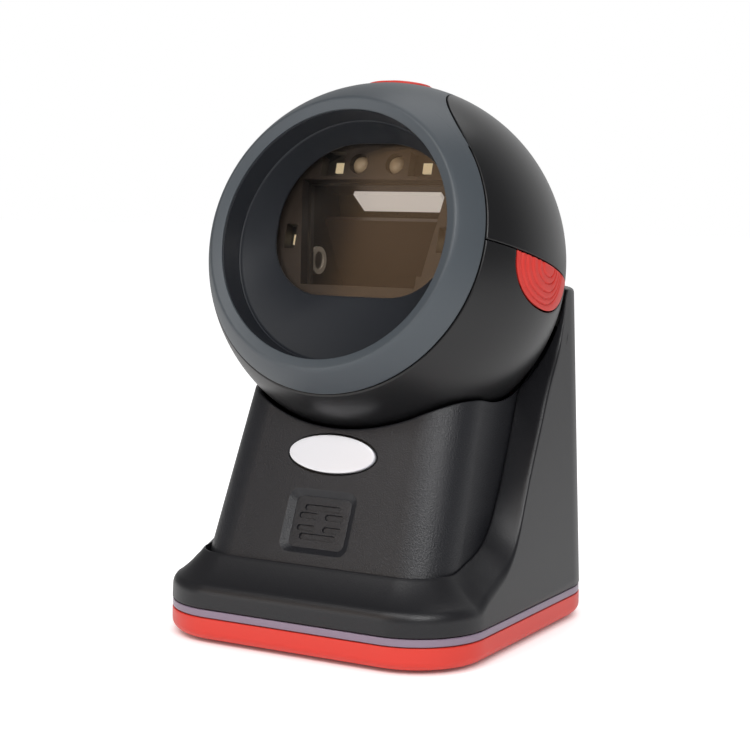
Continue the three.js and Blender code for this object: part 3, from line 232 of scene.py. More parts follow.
FINISHES: dict[str, Finish] = {
    "bezel_grey": Finish((0.070, 0.083, 0.096), 0.42, surface=Surface.GRAIN, grain=0.10, cell=0.5),
    "funnel_dark": Finish((0.0125, 0.0150, 0.0205), 0.48, surface=Surface.GRAIN, grain=0.06, cell=0.5,
                          specular=0.42),
    "optics_brown": Finish((0.034, 0.028, 0.025), 0.5, surface=Surface.GRAIN, grain=0.03, cell=0.5),
    "circuit_board": Finish((0.055, 0.050, 0.046), 0.4),
    # led_chip: painted light, the chips emit though the scanner's lamps are off
    "led_chip": Finish((0.85, 0.76, 0.52), 0.35, painted_glow=0.45),
    "mirror_glass": Finish((0.060, 0.046, 0.042), 0.42, surface=Surface.GRAIN, grain=0.03, cell=0.4),
    # diffuser_white: painted light, the diffuser emits though no lamp inside is on
    "diffuser_white": Finish((0.85, 0.85, 0.85), 0.35, painted_glow=0.5),
    "screw_steel": Finish((0.55, 0.56, 0.57), 0.3, 1.0, surface=Surface.BRUSHED, grain=0.1, cell=0.3),
    "part_black": Finish((0.012, 0.012, 0.013), 0.45),
    "header_nylon": Finish((0.78, 0.76, 0.7), 0.5),
    "shell_black": Finish((0.0085, 0.0085, 0.0095), 0.34, surface=Surface.GRAIN, grain=0.10, cell=0.35),
    "grip_red": Finish((0.72, 0.035, 0.025), 0.48, surface=Surface.GRAIN, grain=0.05, cell=0.4),
    "button_red": Finish((0.8, 0.045, 0.03), 0.4),
    "yoke_steel": Finish((0.5, 0.5, 0.52), 0.38, 1.0, surface=Surface.BRUSHED, grain=0.15, cell=0.4),
    "washer_brass": Finish((0.7, 0.52, 0.24), 0.3, 1.0),
    "stand_black": Finish((0.0125, 0.0125, 0.0150), 0.38, surface=Surface.GRAIN, grain=0.16, cell=0.5),
    "cover_grained": Finish((0.0165, 0.0170, 0.0205), 0.34, surface=Surface.GRAIN, grain=0.62, cell=0.46),
    "badge_white": Finish((0.86, 0.86, 0.90), 0.25, coat=0.4),
    "speaker_metal": Finish((0.2, 0.2, 0.2), 0.4, 1.0),
    "strip_violet": Finish((0.30, 0.23, 0.31), 0.3),
    "base_red": Finish((0.83, 0.05, 0.032), 0.36, surface=Surface.GRAIN, grain=0.03, cell=0.5),
    "foot_rubber": Finish((0.02, 0.02, 0.02), 0.8),
    "ballast_iron": Finish((0.1, 0.1, 0.1), 0.6, 1.0),
}


class Paintbox:
    """Makes each material once and hands it out by slot name."""

    def __init__(self) -> None:
        self.made: dict[str, bpy.types.Material] = {}

    def get(self, slot: str) -> bpy.types.Material:
        """The material of a slot."""
        if slot not in self.made:
            clear = {"window_clear": self._window, "lens_glass": self._lens, "lamp_dome": self._dome}
            self.made[slot] = clear[slot](slot) if slot in clear else self._solid(slot, FINISHES[slot])
        return self.made[slot]

    @staticmethod
    def _blank(name: str) -> tuple[bpy.types.Material, bpy.types.NodeTree, bpy.types.Node]:
        """A new material with its node tree and its surface shader."""
        material = bpy.data.materials.new(name)
        material.use_nodes = True
        tree = material.node_tree
        return material, tree, tree.nodes["Principled BSDF"]

    def _solid(self, name: str, finish: Finish) -> bpy.types.Material:
        """An opaque material from its finish."""
        material, tree, shader = self._blank(name)
        inputs = shader.inputs
        inputs["Base Color"].default_value = (*finish.color, 1.0)
        inputs["Roughness"].default_value = finish.roughness
        inputs["Metallic"].default_value = finish.metallic
        inputs["Specular IOR Level"].default_value = finish.specular
        inputs["Coat Weight"].default_value = finish.coat
        inputs["Coat Roughness"].default_value = 0.12
        # Painted light: these parts emit in their own colour though no lamp in them is on.
        if finish.painted_glow:
            inputs["Emission Color"].default_value = (*finish.color, 1.0)
            inputs["Emission Strength"].default_value = finish.painted_glow
        if finish.surface is not Surface.PLAIN:
            self._texture(tree, shader, finish)
        return material

    @staticmethod
    def _texture(tree: bpy.types.NodeTree, shader: bpy.types.Node, finish: Finish) -> None:
        """Fine moulded or brushed texture, in the object's own coordinates."""
        coords = tree.nodes.new("ShaderNodeTexCoord")
        mapping = tree.nodes.new("ShaderNodeMapping")
        noise = tree.nodes.new("ShaderNodeTexNoise")
        bump = tree.nodes.new("ShaderNodeBump")
        if finish.surface is Surface.BRUSHED:
            mapping.inputs["Scale"].default_value = (1.0, 1.0, 12.0)
        noise.inputs["Scale"].default_value = 1.0 / (finish.cell * MM)
        noise.inputs["Detail"].default_value = 3.0
        noise.inputs["Roughness"].default_value = 0.6
        bump.inputs["Strength"].default_value = finish.grain
        bump.inputs["Distance"].default_value = finish.cell * MM * 0.5
        links = tree.links
        links.new(coords.outputs["Object"], mapping.inputs["Vector"])
        links.new(mapping.outputs["Vector"], noise.inputs["Vector"])
        links.new(noise.outputs["Fac"], bump.inputs["Height"])
        links.new(bump.outputs["Normal"], shader.inputs["Normal"])

    def _window(self, name: str) -> bpy.types.Material:
        """A thin clear pane: light goes straight through, and a sheen grows at grazing angles."""
        material, tree, shader = self._blank(name)
        shader.inputs["Base Color"].default_value = (0.86, 0.82, 0.78, 1.0)
        shader.inputs["Roughness"].default_value = 0.03
        clear = tree.nodes.new("ShaderNodeBsdfTransparent")
        clear.inputs["Color"].default_value = (0.95, 0.915, 0.88, 1.0)
        sheen = tree.nodes.new("ShaderNodeBsdfGlossy")
        sheen.inputs["Roughness"].default_value = 0.09
        weight = tree.nodes.new("ShaderNodeFresnel")
        weight.inputs["IOR"].default_value = 1.45
        mix = tree.nodes.new("ShaderNodeMixShader")
        output = tree.nodes["Material Output"]
        tree.links.new(weight.outputs["Fac"], mix.inputs[0])
        tree.links.new(clear.outputs[0], mix.inputs[1])
        tree.links.new(sheen.outputs[0], mix.inputs[2])
        tree.links.new(mix.outputs[0], output.inputs["Surface"])
        return material

    def _lens(self, name: str) -> bpy.types.Material:
        """The camera's coated glass, nearly black."""
        material, _, shader = self._blank(name)
        shader.inputs["Base Color"].default_value = (0.08, 0.08, 0.14, 1.0)
        shader.inputs["Roughness"].default_value = 0.05
        shader.inputs["Coat Weight"].default_value = 1.0
        return material

    def _dome(self, name: str) -> bpy.types.Material:
        """The lamps' cream-coloured, half-clear resin."""
        material, _, shader = self._blank(name)
        shader.inputs["Base Color"].default_value = (0.80, 0.70, 0.52, 1.0)
        shader.inputs["Roughness"].default_value = 0.12
        shader.inputs["Transmission Weight"].default_value = 0.35
        shader.inputs["Coat Weight"].default_value = 0.6
        return material


# ---------------------------------------------------------------- mesh making
@dataclass
class Sheet:
    """A grid of points, in millimetres, that becomes faces; it may close on itself along its columns."""

    points: Array
    wrap: bool = False
    flip: bool = False

    def faces(self, start: int) -> Array:
        """Quads of the grid, counted from a first vertex number."""
        rows, cols = self.points.shape[:2]
        span = cols if self.wrap else cols - 1
        i, j = np.meshgrid(np.arange(rows - 1), np.arange(span), indexing="ij")
        k = (j + 1) % cols
        quads = np.stack([i * cols + j, i * cols + k, (i + 1) * cols + k, (i + 1) * cols + j], axis=-1)
        quads = quads.reshape(-1, 4)
        return start + (quads[:, ::-1] if self.flip else quads)


class Workshop:
    """Turns sheets of points into pieces that ride on the frame's bodies."""

    def __init__(self, paintbox: Paintbox) -> None:
        self.paintbox = paintbox

    @staticmethod
    def mesh(name: str, sheets: list[Sheet], weld: float = 1e-6) -> bpy.types.Mesh:
        """One smooth-shaded mesh from sheets whose meeting edges are welded.

        Args:
            name: the mesh's name.
            sheets: grids of points in the row frame, in millimetres.
            weld: how close two points are merged, in metres.

        Returns:
            The mesh, in metres.
        """
        points = np.concatenate([s.points.reshape(-1, 3) for s in sheets]) * MM
        starts = np.cumsum([0] + [s.points.shape[0] * s.points.shape[1] for s in sheets[:-1]])
        quads = np.concatenate([s.faces(int(at)) for s, at in zip(sheets, starts)])
        mesh = bpy.data.meshes.new(name)
        mesh.vertices.add(len(points))
        mesh.vertices.foreach_set("co", points.astype(np.float32).ravel())
        mesh.loops.add(quads.size)
        mesh.loops.foreach_set("vertex_index", quads.ravel().astype(np.int32))
        mesh.polygons.add(len(quads))
        mesh.polygons.foreach_set("loop_start", np.arange(0, quads.size, 4, dtype=np.int32))
        mesh.update(calc_edges=True)
        mesh.validate()
        work = bmesh.new()
        work.from_mesh(mesh)
        bmesh.ops.remove_doubles(work, verts=work.verts, dist=weld)
        bmesh.ops.dissolve_degenerate(work, edges=work.edges, dist=1e-8)
        bmesh.ops.recalc_face_normals(work, faces=work.faces)
        work.to_mesh(mesh)
        work.free()
        mesh.polygons.foreach_set("use_smooth", np.ones(len(mesh.polygons), bool))
        return mesh

    def piece(self, name: str, sheets: list[Sheet], slot: str, body: str, *nodes: str) -> bpy.types.Object:
        """A finished piece that stands for CAD nodes.

        Args:
            name: the piece's name.
            sheets: its surface.
            slot: its material slot.
            body: the body it moves with.
            nodes: the CAD nodes it is shown in place of.

        Returns:
            The new object.
        """
        obj = bpy.data.objects.new(name, self.mesh(name, sheets))
        return self.place(obj, slot, body, *nodes)

    def place(self, obj: bpy.types.Object, slot: str, body: str, *nodes: str) -> bpy.types.Object:
        """Link an object, paint it and tie it to its body and its nodes."""
        if obj.name not in bpy.context.scene.collection.objects:
            bpy.context.scene.collection.objects.link(obj)
        obj.data.materials.clear()
        obj.data.materials.append(self.paintbox.get(slot))
        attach(obj, body)
        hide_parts(*nodes)
        LOG.info("%s on %s, in place of %s", obj.name, body, ", ".join(nodes))
        return obj

    def carve(self, name: str, sheets: list[Sheet], cutters: list[list[Sheet]],
              angle: float = 40.0) -> bpy.types.Object:
        """A piece with other solids cut out of it, shaded smooth up to an angle.

        Args:
            name: the piece's name.
            sheets: the solid to cut.
            cutters: solids to take away.
            angle: edges sharper than this, in degrees, stay sharp.

        Returns:
            The cut object, linked to the scene but not yet placed.
        """
        scene = bpy.context.scene.collection
        obj = bpy.data.objects.new(name, self.mesh(name, sheets))
        scene.objects.link(obj)
        tools = []
        for number, cutter in enumerate(cutters):
            tool_name = f"{name}_cutter_{number}"
            tool = bpy.data.objects.new(tool_name, self.mesh(tool_name, cutter))
            scene.objects.link(tool)
            modifier = obj.modifiers.new(f"cut_{number}", "BOOLEAN")
            modifier.operation = "DIFFERENCE"
            modifier.solver = "EXACT"
            modifier.object = tool
            tools.append(tool)
        bpy.context.view_layer.update()
        evaluated = obj.evaluated_get(bpy.context.evaluated_depsgraph_get())
        mesh = bpy.data.meshes.new_from_object(evaluated)
        obj.modifiers.clear()
        obj.data = mesh
        mesh.name = name
        for tool in tools:
            bpy.data.objects.remove(tool)
        mesh.polygons.foreach_set("use_smooth", np.ones(len(mesh.polygons), bool))
        mesh.set_sharp_from_angle(angle=math.radians(angle))
        return obj


def rounded(points: list[tuple[float, float]], radii: list[float], steps: int = 6) -> Array:
    """An open path with its corners rounded.

    Args:
        points: the path's corners.
        radii: how far along its two sides each corner's curve reaches, with a value for both ends too.
        steps: how many points each curve gets.

    Returns:
        The points of the rounded path.
    """
    path = [np.array(points[0], float)]
    for i in range(1, len(points) - 1):
        corner = np.array(points[i], float)
        before = np.array(points[i - 1], float) - corner
        after = np.array(points[i + 1], float) - corner
        reach = min(radii[i], 0.48 * np.linalg.norm(before), 0.48 * np.linalg.norm(after))
        if reach <= 0:
            path.append(corner)
            continue
        start = corner + reach * before / np.linalg.norm(before)
        end = corner + reach * after / np.linalg.norm(after)
        for t in np.linspace(0, 1, steps):
            path.append((1 - t) ** 2 * start + 2 * t * (1 - t) * corner + t**2 * end)
    path.append(np.array(points[-1], float))
    return np.array(path)


def bezier(controls: list[tuple[float, float]], count: int) -> Array:
    """Points of a cubic curve with four control points."""
    t = np.linspace(0, 1, count)[:, None]
    a, b, c, d = (np.array(p, float) for p in controls)
    return (1 - t) ** 3 * a + 3 * t * (1 - t) ** 2 * b + 3 * t**2 * (1 - t) * c + t**3 * d


def towards(start: Array, end: Array) -> Array:
    """Unit vector from each start to its end."""
    span = end - start
    return span / np.maximum(np.linalg.norm(span, axis=-1, keepdims=True), 1e-9)


def rounded_rows(before: Array, at: Array, after: Array, reach: Array | float, steps: int) -> list[Array]:
    """Rows that round off a line of corners.

    Args:
        before: a point on the side that each corner comes from.
        at: the corners.
        after: a point on the side that each corner leaves by.
        reach: how far along both sides the rounding starts and ends.
        steps: how many rows to make.

    Returns:
        The rows, from the first side to the last.
    """
    first, last = at + towards(at, before) * reach, at + towards(at, after) * reach
    return [(1 - t) ** 2 * first + 2 * t * (1 - t) * at + t**2 * last for t in np.linspace(0, 1, steps)]


def resampled(path: Array, count: int) -> Array:
    """The same path with its points evenly spaced."""
    steps = np.linalg.norm(np.diff(path, axis=0), axis=1)
    length = np.concatenate([[0.0], np.cumsum(steps)])
    at = np.linspace(0, length[-1], count)
    return np.stack([np.interp(at, length, path[:, k]) for k in range(path.shape[1])], axis=-1)


def crowded(count: int, rim: float) -> Array:
    """Numbers from 0 to 1 that crowd near both ends."""
    near = rim * np.array([0, 0.06, 0.16, 0.32, 0.55, 0.8, 1.1, 1.5])
    far = 1 - near[::-1]
    return np.concatenate([near, np.linspace(near[-1], far[0], count + 2)[1:-1], far])


def fillet_depth(distance: Array, radius: float) -> Array:
    """How far a rounded edge falls below the surface at a distance from the edge."""
    inside = np.clip(radius - distance, 0, radius)
    return radius - np.sqrt(np.maximum(radius**2 - inside**2, 0))


def distance_to(points: Array, curve: Array) -> Array:
    """Distance from each point to the nearest piece of a curve."""
    flat = points.reshape(-1, 3)
    best = np.full(len(flat), np.inf)
    for a, b in zip(curve[:-1], curve[1:]):
        span = b - a
        square = float(span @ span)
        if square == 0:
            continue
        t = np.clip(((flat - a) @ span) / square, 0, 1)
        best = np.minimum(best, np.linalg.norm(flat - a - t[:, None] * span, axis=1))
    return best.reshape(points.shape[:2])


# ---------------------------------------------------------------- ball-shaped pieces
class BallPanel:
    """A piece of the ball's skin between two boundary curves, with rounded rims and a wall's thickness."""

    def __init__(self, start: Array, end: Array, columns: int, wall: float = 2.2) -> None:
        """Set out the panel.

        Args:
            start: (ahead, angle) points of one boundary; the angle runs about the reading axis from +x.
            end: as many points of the other boundary.
            columns: how many columns lie between them.
            wall: the piece's thickness.
        """
        self.start, self.end, self.wall = start, end, wall
        share = crowded(columns, 0.012)
        self.grid = start[:, None, :] * (1 - share[None, :, None]) + end[:, None, :] * share[None, :, None]
        self.lift = np.zeros(self.grid.shape[:2])

    def at(self, radius: Array | float) -> Array:
        """The grid at a radius, in (x, ahead, up)."""
        ahead, angle = self.grid[..., 0], self.grid[..., 1]
        ring = BALL.ring_radius(ahead)
        skin = np.stack([ring * np.cos(angle), ahead, ring * np.sin(angle)], axis=-1)
        return skin * (np.asarray(radius, float) / BALL.radius)[..., None]

    def ring_edge(self, ahead: float, count: int = 60) -> Array:
        """The panel's edge along the ring, as points (x, ahead, up)."""
        angle = np.linspace(self.start[0, 1], self.end[0, 1], count)
        return on_skin(np.stack([np.full(count, ahead), angle], axis=-1))

    def round_edges(self, curves: list[Array], radius: float = BALL.rim) -> None:
        """Lower the skin into a rounded rim along curves."""
        skin = self.at(BALL.radius)
        distance = np.min([distance_to(skin, curve) for curve in curves], axis=0)
        self.lift -= fillet_depth(distance, radius)

    def sheets(self, skirts: dict[str, slice], mirror: bool = False) -> list[Sheet]:
        """Outer skin, inner skin and the walls that join them.

        Args:
            skirts: sides ("start", "end", "first", "last") that get a wall, and the span of each.
            mirror: whether the piece is the one on the other side.

        Returns:
            The sheets of the closed piece, in the row frame.
        """
        outer = self.at(BALL.radius + self.lift)
        inner = self.at(BALL.radius - self.wall)
        whole = slice(None)
        pick = {"start": (whole, 0), "end": (whole, -1), "first": (0, whole), "last": (-1, whole)}
        grids = [outer, inner]
        for side, span in skirts.items():
            grids.append(np.stack([outer[pick[side]][span], inner[pick[side]][span]]))
        sign = np.array([-1.0 if mirror else 1.0, 1.0, 1.0])
        return [Sheet(BALL.to_row(grid * sign)) for grid in grids]


def skin_angle(ahead: Array, up: Array) -> Array:
    """Angle about the reading axis, from +x, of a point of the right half of the skin at a height."""
    ring = np.maximum(BALL.ring_radius(ahead), 1e-9)
    return np.arcsin(np.clip(up / ring, -1, 1))


def on_skin(curve: Array) -> Array:
    """Points (x, ahead, up) of a boundary given as (ahead, angle)."""
    ring = BALL.ring_radius(curve[:, 0])
    return np.stack([ring * np.cos(curve[:, 1]), curve[:, 0], ring * np.sin(curve[:, 1])], axis=-1)


@dataclass(frozen=True)
class Saddle:
    """Plan of the grey saddle over the top of the ball, seen from above, in (x, ahead)."""

    half_width: float = 17.0
    back: float = -34.0
    flare_x: float = 34.6

    def edge(self, margin: float, count: int = 140) -> Array:
        """The right edge from the ring back to the midline, grown by a margin."""
        half = self.half_width + margin
        flare = bezier([(self.flare_x + margin, BALL.ring_ahead - margin), (28 + margin, 26.1 - margin),
                        (18.5 + margin, 22.5 - margin), (half, 4.0)], 80)
        centre = self.back + self.half_width
        turn = np.linspace(0, math.pi / 2, 50)
        end = np.stack([half * np.cos(turn), centre - half * np.sin(turn)], axis=-1)
        return resampled(np.concatenate([flare, end]), count)


@dataclass(frozen=True)
class GripShape:
    """Side view of the red grip under the seam."""

    front: float = 16.1
    rear: float = 18.2
    depth: float = 12.3
    power: float = 2.3
    levels: tuple[float, ...] = (0.87, 0.745, 0.6, 0.42, 0.27)
    hook: float = 11.5
    spread: float = 13.0
    groove: float = 0.42
    groove_width: float = 0.30
    step: float = 0.16
    step_width: float = 1.5

    def edge(self, margin: float, count: int = 160) -> Array:
        """(ahead, up) points of the curved edge from the front tip to the rear tip."""
        angle = np.linspace(0, math.pi, count)
        cosine, sine = np.cos(angle), np.sin(angle)
        bend = np.where(angle > math.pi / 2, 1.0, 2 / self.power)
        reach = np.where(angle > math.pi / 2, self.rear, self.front) + margin
        ahead = reach * np.sign(cosine) * np.abs(cosine) ** bend
        up = BALL.seam - (self.depth + margin) * np.maximum(sine, 0) ** bend
        return np.stack([ahead, up], axis=-1)

    def ridges(self, skin: Array) -> Array:
        """Depth of the nested moulded grooves at points of the skin."""
        ahead, down = skin[..., 1], BALL.seam - skin[..., 2]
        reach = np.where(ahead > 0, self.front, self.hook)
        along, across = np.abs(ahead) / reach, np.maximum(down, 0) / self.depth
        level = (along**self.power + across**self.power) ** (1 / self.power)
        depth = np.zeros(level.shape)
        for edge in self.levels:
            offset = (level - edge) * self.spread
            step = np.clip(1 - offset / self.step_width, 0, 1) * (offset > 0)
            depth += self.groove * np.exp(-((offset / self.groove_width) ** 2)) + self.step * step
        return depth


class HeadSkins:
    """The outer mouldings of the ball-shaped head."""

    SPIGOT = 38.81
    SPIGOT_BACK = 21.0
    RING_FACE = 37.9
    STEP_RADIUS = 34.24
    STEP_AHEAD = 31.86
    COLLAR = 36.2
    COLLAR_AHEAD = 31.55
    COLLAR_BACK = 22.2
    SADDLE_WALL = 2.4
    SADDLE_PROUD = 0.012
    GRIP_WALL = 1.4
    BUTTON_UNDERSIDE = 47.0
    BACK_POLE = -49.985

    def __init__(self, shop: Workshop) -> None:
        self.shop = shop
        self.saddle = Saddle()
        self.grip = GripShape()

    def build(self) -> None:
        """Make every outer moulding of the head."""
        self._bezel()
        self._funnel()
        self._upper_shell()
        self._lower_shell()
        self._grips()
        self._button()

    @staticmethod
    def _turned(path: Array, count: int = 256) -> Sheet:
        """A (radius, ahead) path turned about the reading axis."""
        angle = np.linspace(0, 2 * math.pi, count, endpoint=False)
        radius, ahead = path[:, 0][:, None], path[:, 1][:, None]
        points = np.stack([radius * np.cos(angle), ahead + 0 * angle, radius * np.sin(angle)], axis=-1)
        return Sheet(BALL.to_row(points), wrap=True)

    def _bezel(self) -> None:
        """The grey ring, and the saddle that runs from it over the top."""
        bezel = bpy.data.objects.new("bezel", self.shop.mesh("bezel", [self._ring()]))
        bpy.context.scene.collection.objects.link(bezel)
        self._absorb(bezel, self._saddle())
        self.shop.place(bezel, "bezel_grey", "head", "front_bezel")

    def _ring(self) -> Sheet:
        """The ring: the ball's skin, a rounded front edge, a step down to the funnel and a spigot behind."""
        back = BALL.ring_ahead + BALL.gap / 2
        angle = np.linspace(math.acos(back / BALL.radius), math.asin(self.RING_FACE / BALL.radius), 30)
        skin = [(BALL.radius * math.sin(a), BALL.radius * math.cos(a)) for a in angle]
        inner = self.SPIGOT - 2
        loop = skin + [(37.0, 33.45), (self.STEP_RADIUS, 32.3), (self.STEP_RADIUS, self.STEP_AHEAD),
                       (inner, self.STEP_AHEAD), (inner, self.SPIGOT_BACK), (self.SPIGOT, self.SPIGOT_BACK),
                       (self.SPIGOT, back), skin[0]]
        path = rounded(loop, [0.0] * len(skin) + [1.1, 0.35] + [0.0] * 6, 8)
        path[0] = path[-1] = (skin[0][0] - 0.12, skin[0][1])
        return self._turned(path, 320)

    def _saddle(self) -> bpy.types.Object:
        """The saddle over the top, with a hole for the button."""
        edge = self.saddle.edge(0.0, 200)
        share = 2 * crowded(90, 0.01) - 1
        x = edge[:, :1] * share[None, :]
        ahead = np.repeat(edge[:, 1:], len(share), axis=1)
        ahead[:2] = [[BALL.ring_ahead + 1.6], [BALL.ring_ahead + 0.5]]
        up = np.sqrt(np.maximum(BALL.radius**2 - x**2 - ahead**2, 0))
        skin_points = np.stack([x, ahead, up], axis=-1)
        rim = np.stack([edge[:, 0], edge[:, 1], np.sqrt(BALL.radius**2 - (edge**2).sum(1))], axis=-1)
        both = np.concatenate([rim, (rim * [-1, 1, 1])[::-1]])
        depth = fillet_depth(distance_to(skin_points, both), BALL.rim)
        depth[:3] = 0.0
        outer = skin_points * (1 + (self.SADDLE_PROUD - depth) / BALL.radius)[..., None]
        inside = skin_points * (1 - self.SADDLE_WALL / BALL.radius)
        whole = slice(None)
        sides = [np.stack([outer[at], inside[at]]) for at in ((whole, 0), (whole, -1), (0, whole), (-1, whole))]
        sheets = [Sheet(BALL.to_row(grid)) for grid in (outer, inside, *sides)]
        return self.shop.carve("saddle", sheets, [self._button_block(BUTTON.gap, 30, 60)])

    @staticmethod
    def _absorb(whole: bpy.types.Object, extra: bpy.types.Object) -> None:
        """Join one object's mesh into another's."""
        work = bmesh.new()
        work.from_mesh(whole.data)
        work.from_mesh(extra.data)
        work.to_mesh(whole.data)
        work.free()
        bpy.data.objects.remove(extra)

    @staticmethod
    def _button_plan(margin: float) -> Array:
        """(x, ahead) outline of the top button, grown by a margin."""
        front, back = BUTTON.front + margin, BUTTON.back - margin
        return rounded_rectangle(0.0, (front + back) / 2, BUTTON.half_width + margin, (front - back) / 2,
                                 BUTTON.corner + margin, 16)

    def _button_block(self, margin: float, low: float, high: float) -> list[Sheet]:
        """A straight block through the saddle with the button's plan."""
        x, ahead = self._button_plan(margin).T
        rings = [np.stack([x * s, (ahead - BUTTON.middle) * s + BUTTON.middle, np.full(len(x), z)], axis=-1)
                 for s, z in ((0.0, low), (1.0, low), (1.0, high), (0.0, high))]
        return [Sheet(BALL.to_row(np.stack(rings)), wrap=True)]

    def _button(self) -> None:
        """The red button: a domed cap with a rounded edge."""
        plan = self._button_plan(0.0)
        shrink = np.array([1.0, 1.0, 0.998, 0.99, 0.975, 0.955, 0.93, 0.8, 0.6, 0.4, 0.2, 0.0])
        drop = np.array([1.6, 0.75, 0.48, 0.25, 0.1, 0.03, 0.0, 0.0, 0.0, 0.0, 0.0, 0.0])
        x = plan[:, 0][None, :] * shrink[:, None]
        ahead = (plan[:, 1] - BUTTON.middle)[None, :] * shrink[:, None] + BUTTON.middle
        radius = BALL.radius + BUTTON.proud - drop[:, None]
        up = np.sqrt(np.maximum(radius**2 - x**2 - ahead**2, 0))
        skin = np.stack([x, ahead, up], axis=-1)
        under = np.zeros_like(skin[:1]) + [0, BUTTON.middle, self.BUTTON_UNDERSIDE]
        cap = Sheet(BALL.to_row(np.concatenate([under, skin[:1], skin])), wrap=True)
        self.shop.piece("top_button_cap", [cap], "button_red", "button", "top_button")

    def _funnel(self) -> None:
        """Collar inside the bezel, a fine step, and the wall that closes in on the window."""
        angle = np.linspace(0, 2 * math.pi, 384, endpoint=False)

        def row(radius: Array | float, ahead: float) -> Array:
            """Points all round at a radius and a place ahead."""
            return np.stack([radius * np.cos(angle), 0 * angle + ahead, radius * np.sin(angle)], axis=-1)

        collar = [(self.COLLAR, self.COLLAR_AHEAD), (34.2, self.COLLAR_AHEAD), (33.75, 24.3), (33.45, 24.15),
                  (33.2, 23.7)]
        rows = [row(radius, ahead) for radius, ahead in rounded(collar, [0, 0.5, 0.1, 0.2, 0], 6)]
        window, (start, start_ahead) = window_radius(angle), collar[-1]
        share = np.concatenate([np.linspace(0, 0.97, 40), [0.985, 0.995, 1.0]])
        drop = np.concatenate([np.zeros(40), [0.05, 0.16, 0.42]])
        for s, d in zip(share[1:], drop[1:]):
            rows.append(row(start * (1 - s) + window * s, start_ahead * (1 - s) + WINDOW.edge_ahead * s - d))
        rows += [row(window + WINDOW.foot_overlap, WINDOW.foot_ahead), row(self.COLLAR, self.COLLAR_BACK),
                 row(self.COLLAR, self.COLLAR_AHEAD)]
        funnel = Sheet(BALL.to_row(np.stack(rows)), wrap=True)
        self.shop.piece("funnel", [funnel], "funnel_dark", "head", "aperture_funnel")

    def _upper_shell(self) -> None:
        """Black shell above the seam, on both sides of the saddle and round the back."""
        front = BALL.ring_ahead - BALL.gap / 2
        edge = self.saddle.edge(BALL.gap, 190)
        edge[:, 1] = np.minimum(edge[:, 1], front)
        up = np.sqrt(BALL.radius**2 - (edge**2).sum(1))
        end_strap = np.stack([edge[:, 1], np.arctan2(up, edge[:, 0])], axis=-1)
        end_strap[-1, 1] = math.pi / 2
        back = self._along(edge[-1, 1], self.BACK_POLE, 110)[1:]
        end_back = np.stack([back, np.full(len(back), math.pi / 2)], axis=-1)
        end = np.concatenate([end_strap, end_back])
        ahead = self._along(front, self.BACK_POLE, len(end))
        low = BALL.seam + BALL.gap / 2
        start = np.stack([ahead, skin_angle(ahead, np.full(len(ahead), low))], axis=-1)
        panel = BallPanel(start, end, 90)
        panel.round_edges([on_skin(start)[::2], on_skin(end_strap), panel.ring_edge(front)])
        skirts = {"start": slice(None), "first": slice(None), "end": slice(0, len(end_strap))}
        sheets = panel.sheets(skirts) + panel.sheets(skirts, mirror=True)
        self.shop.piece("shell_top", sheets, "shell_black", "head", "upper_shell")

    @staticmethod
    def _along(first: float, last: float, count: int) -> Array:
        """Distances ahead between two places, even along the skin."""
        angle = np.arccos(np.clip(np.array([first, last]) / BALL.radius, -1, 1))
        return BALL.radius * np.cos(np.linspace(angle[0], angle[1], count))

    def _lower_shell(self) -> None:
        """Black shell below the seam, with an edge that follows each grip."""
        front = BALL.ring_ahead - BALL.gap / 2
        high = BALL.seam - BALL.gap / 2
        grip = self.grip.edge(BALL.gap)
        grip[:, 1] = np.minimum(grip[:, 1], high)
        before = self._along(front, grip[0, 0], 40)[:-1]
        after = self._along(grip[-1, 0], self.BACK_POLE, 60)[1:]
        ahead = np.concatenate([before, grip[:, 0], after])
        up = np.concatenate([np.full(len(before), high), grip[:, 1], np.full(len(after), high)])
        start = np.stack([ahead, skin_angle(ahead, up)], axis=-1)
        bottom = self._along(front, self.BACK_POLE, len(ahead))
        end = np.stack([bottom, np.full(len(bottom), -math.pi / 2)], axis=-1)
        panel = BallPanel(start, end, 120)
        panel.round_edges([on_skin(start), panel.ring_edge(front)])
        skirts = {"start": slice(None), "first": slice(None)}
        sheets = panel.sheets(skirts) + panel.sheets(skirts, mirror=True)
        self.shop.piece("shell_bottom", sheets, "shell_black", "head", "lower_shell")

    def _grips(self) -> None:
        """Red side grips with nested moulded grooves."""
        high = BALL.seam - BALL.gap / 2
        curve = self.grip.edge(-BALL.gap / 2, 360)[1:-1]
        curve[:, 1] = np.minimum(curve[:, 1], high - 0.01)
        start = np.stack([curve[:, 0], skin_angle(curve[:, 0], np.full(len(curve), high))], axis=-1)
        end = np.stack([curve[:, 0], skin_angle(curve[:, 0], curve[:, 1])], axis=-1)
        panel = BallPanel(start, end, 120, self.GRIP_WALL)
        panel.round_edges([on_skin(start)[::3], on_skin(end)[::2]])
        panel.lift -= self.grip.ridges(panel.at(BALL.radius))
        skirts = dict.fromkeys(("start", "end", "first", "last"), slice(None))
        for side, mirror in (("right", False), ("left", True)):
            sheets = panel.sheets(skirts, mirror)
            self.shop.piece(f"grip_{side}", sheets, "grip_red", "head", f"side_grip_{side}")


def rounded_rectangle(x: float, y: float, half_x: float, half_y: float, corner: float, steps: int) -> Array:
    """Closed outline of a rectangle with round corners, anticlockwise from its right side."""
    turn = np.linspace(0, math.pi / 2, steps)
    parts = []
    for sign_x, sign_y, start in ((1, 1, 0.0), (-1, 1, 0.5), (-1, -1, 1.0), (1, -1, 1.5)):
        angle = turn + start * math.pi
        parts.append(np.stack([x + sign_x * (half_x - corner) + corner * np.cos(angle),
                               y + sign_y * (half_y - corner) + corner * np.sin(angle)], axis=-1))
    return np.concatenate(parts)


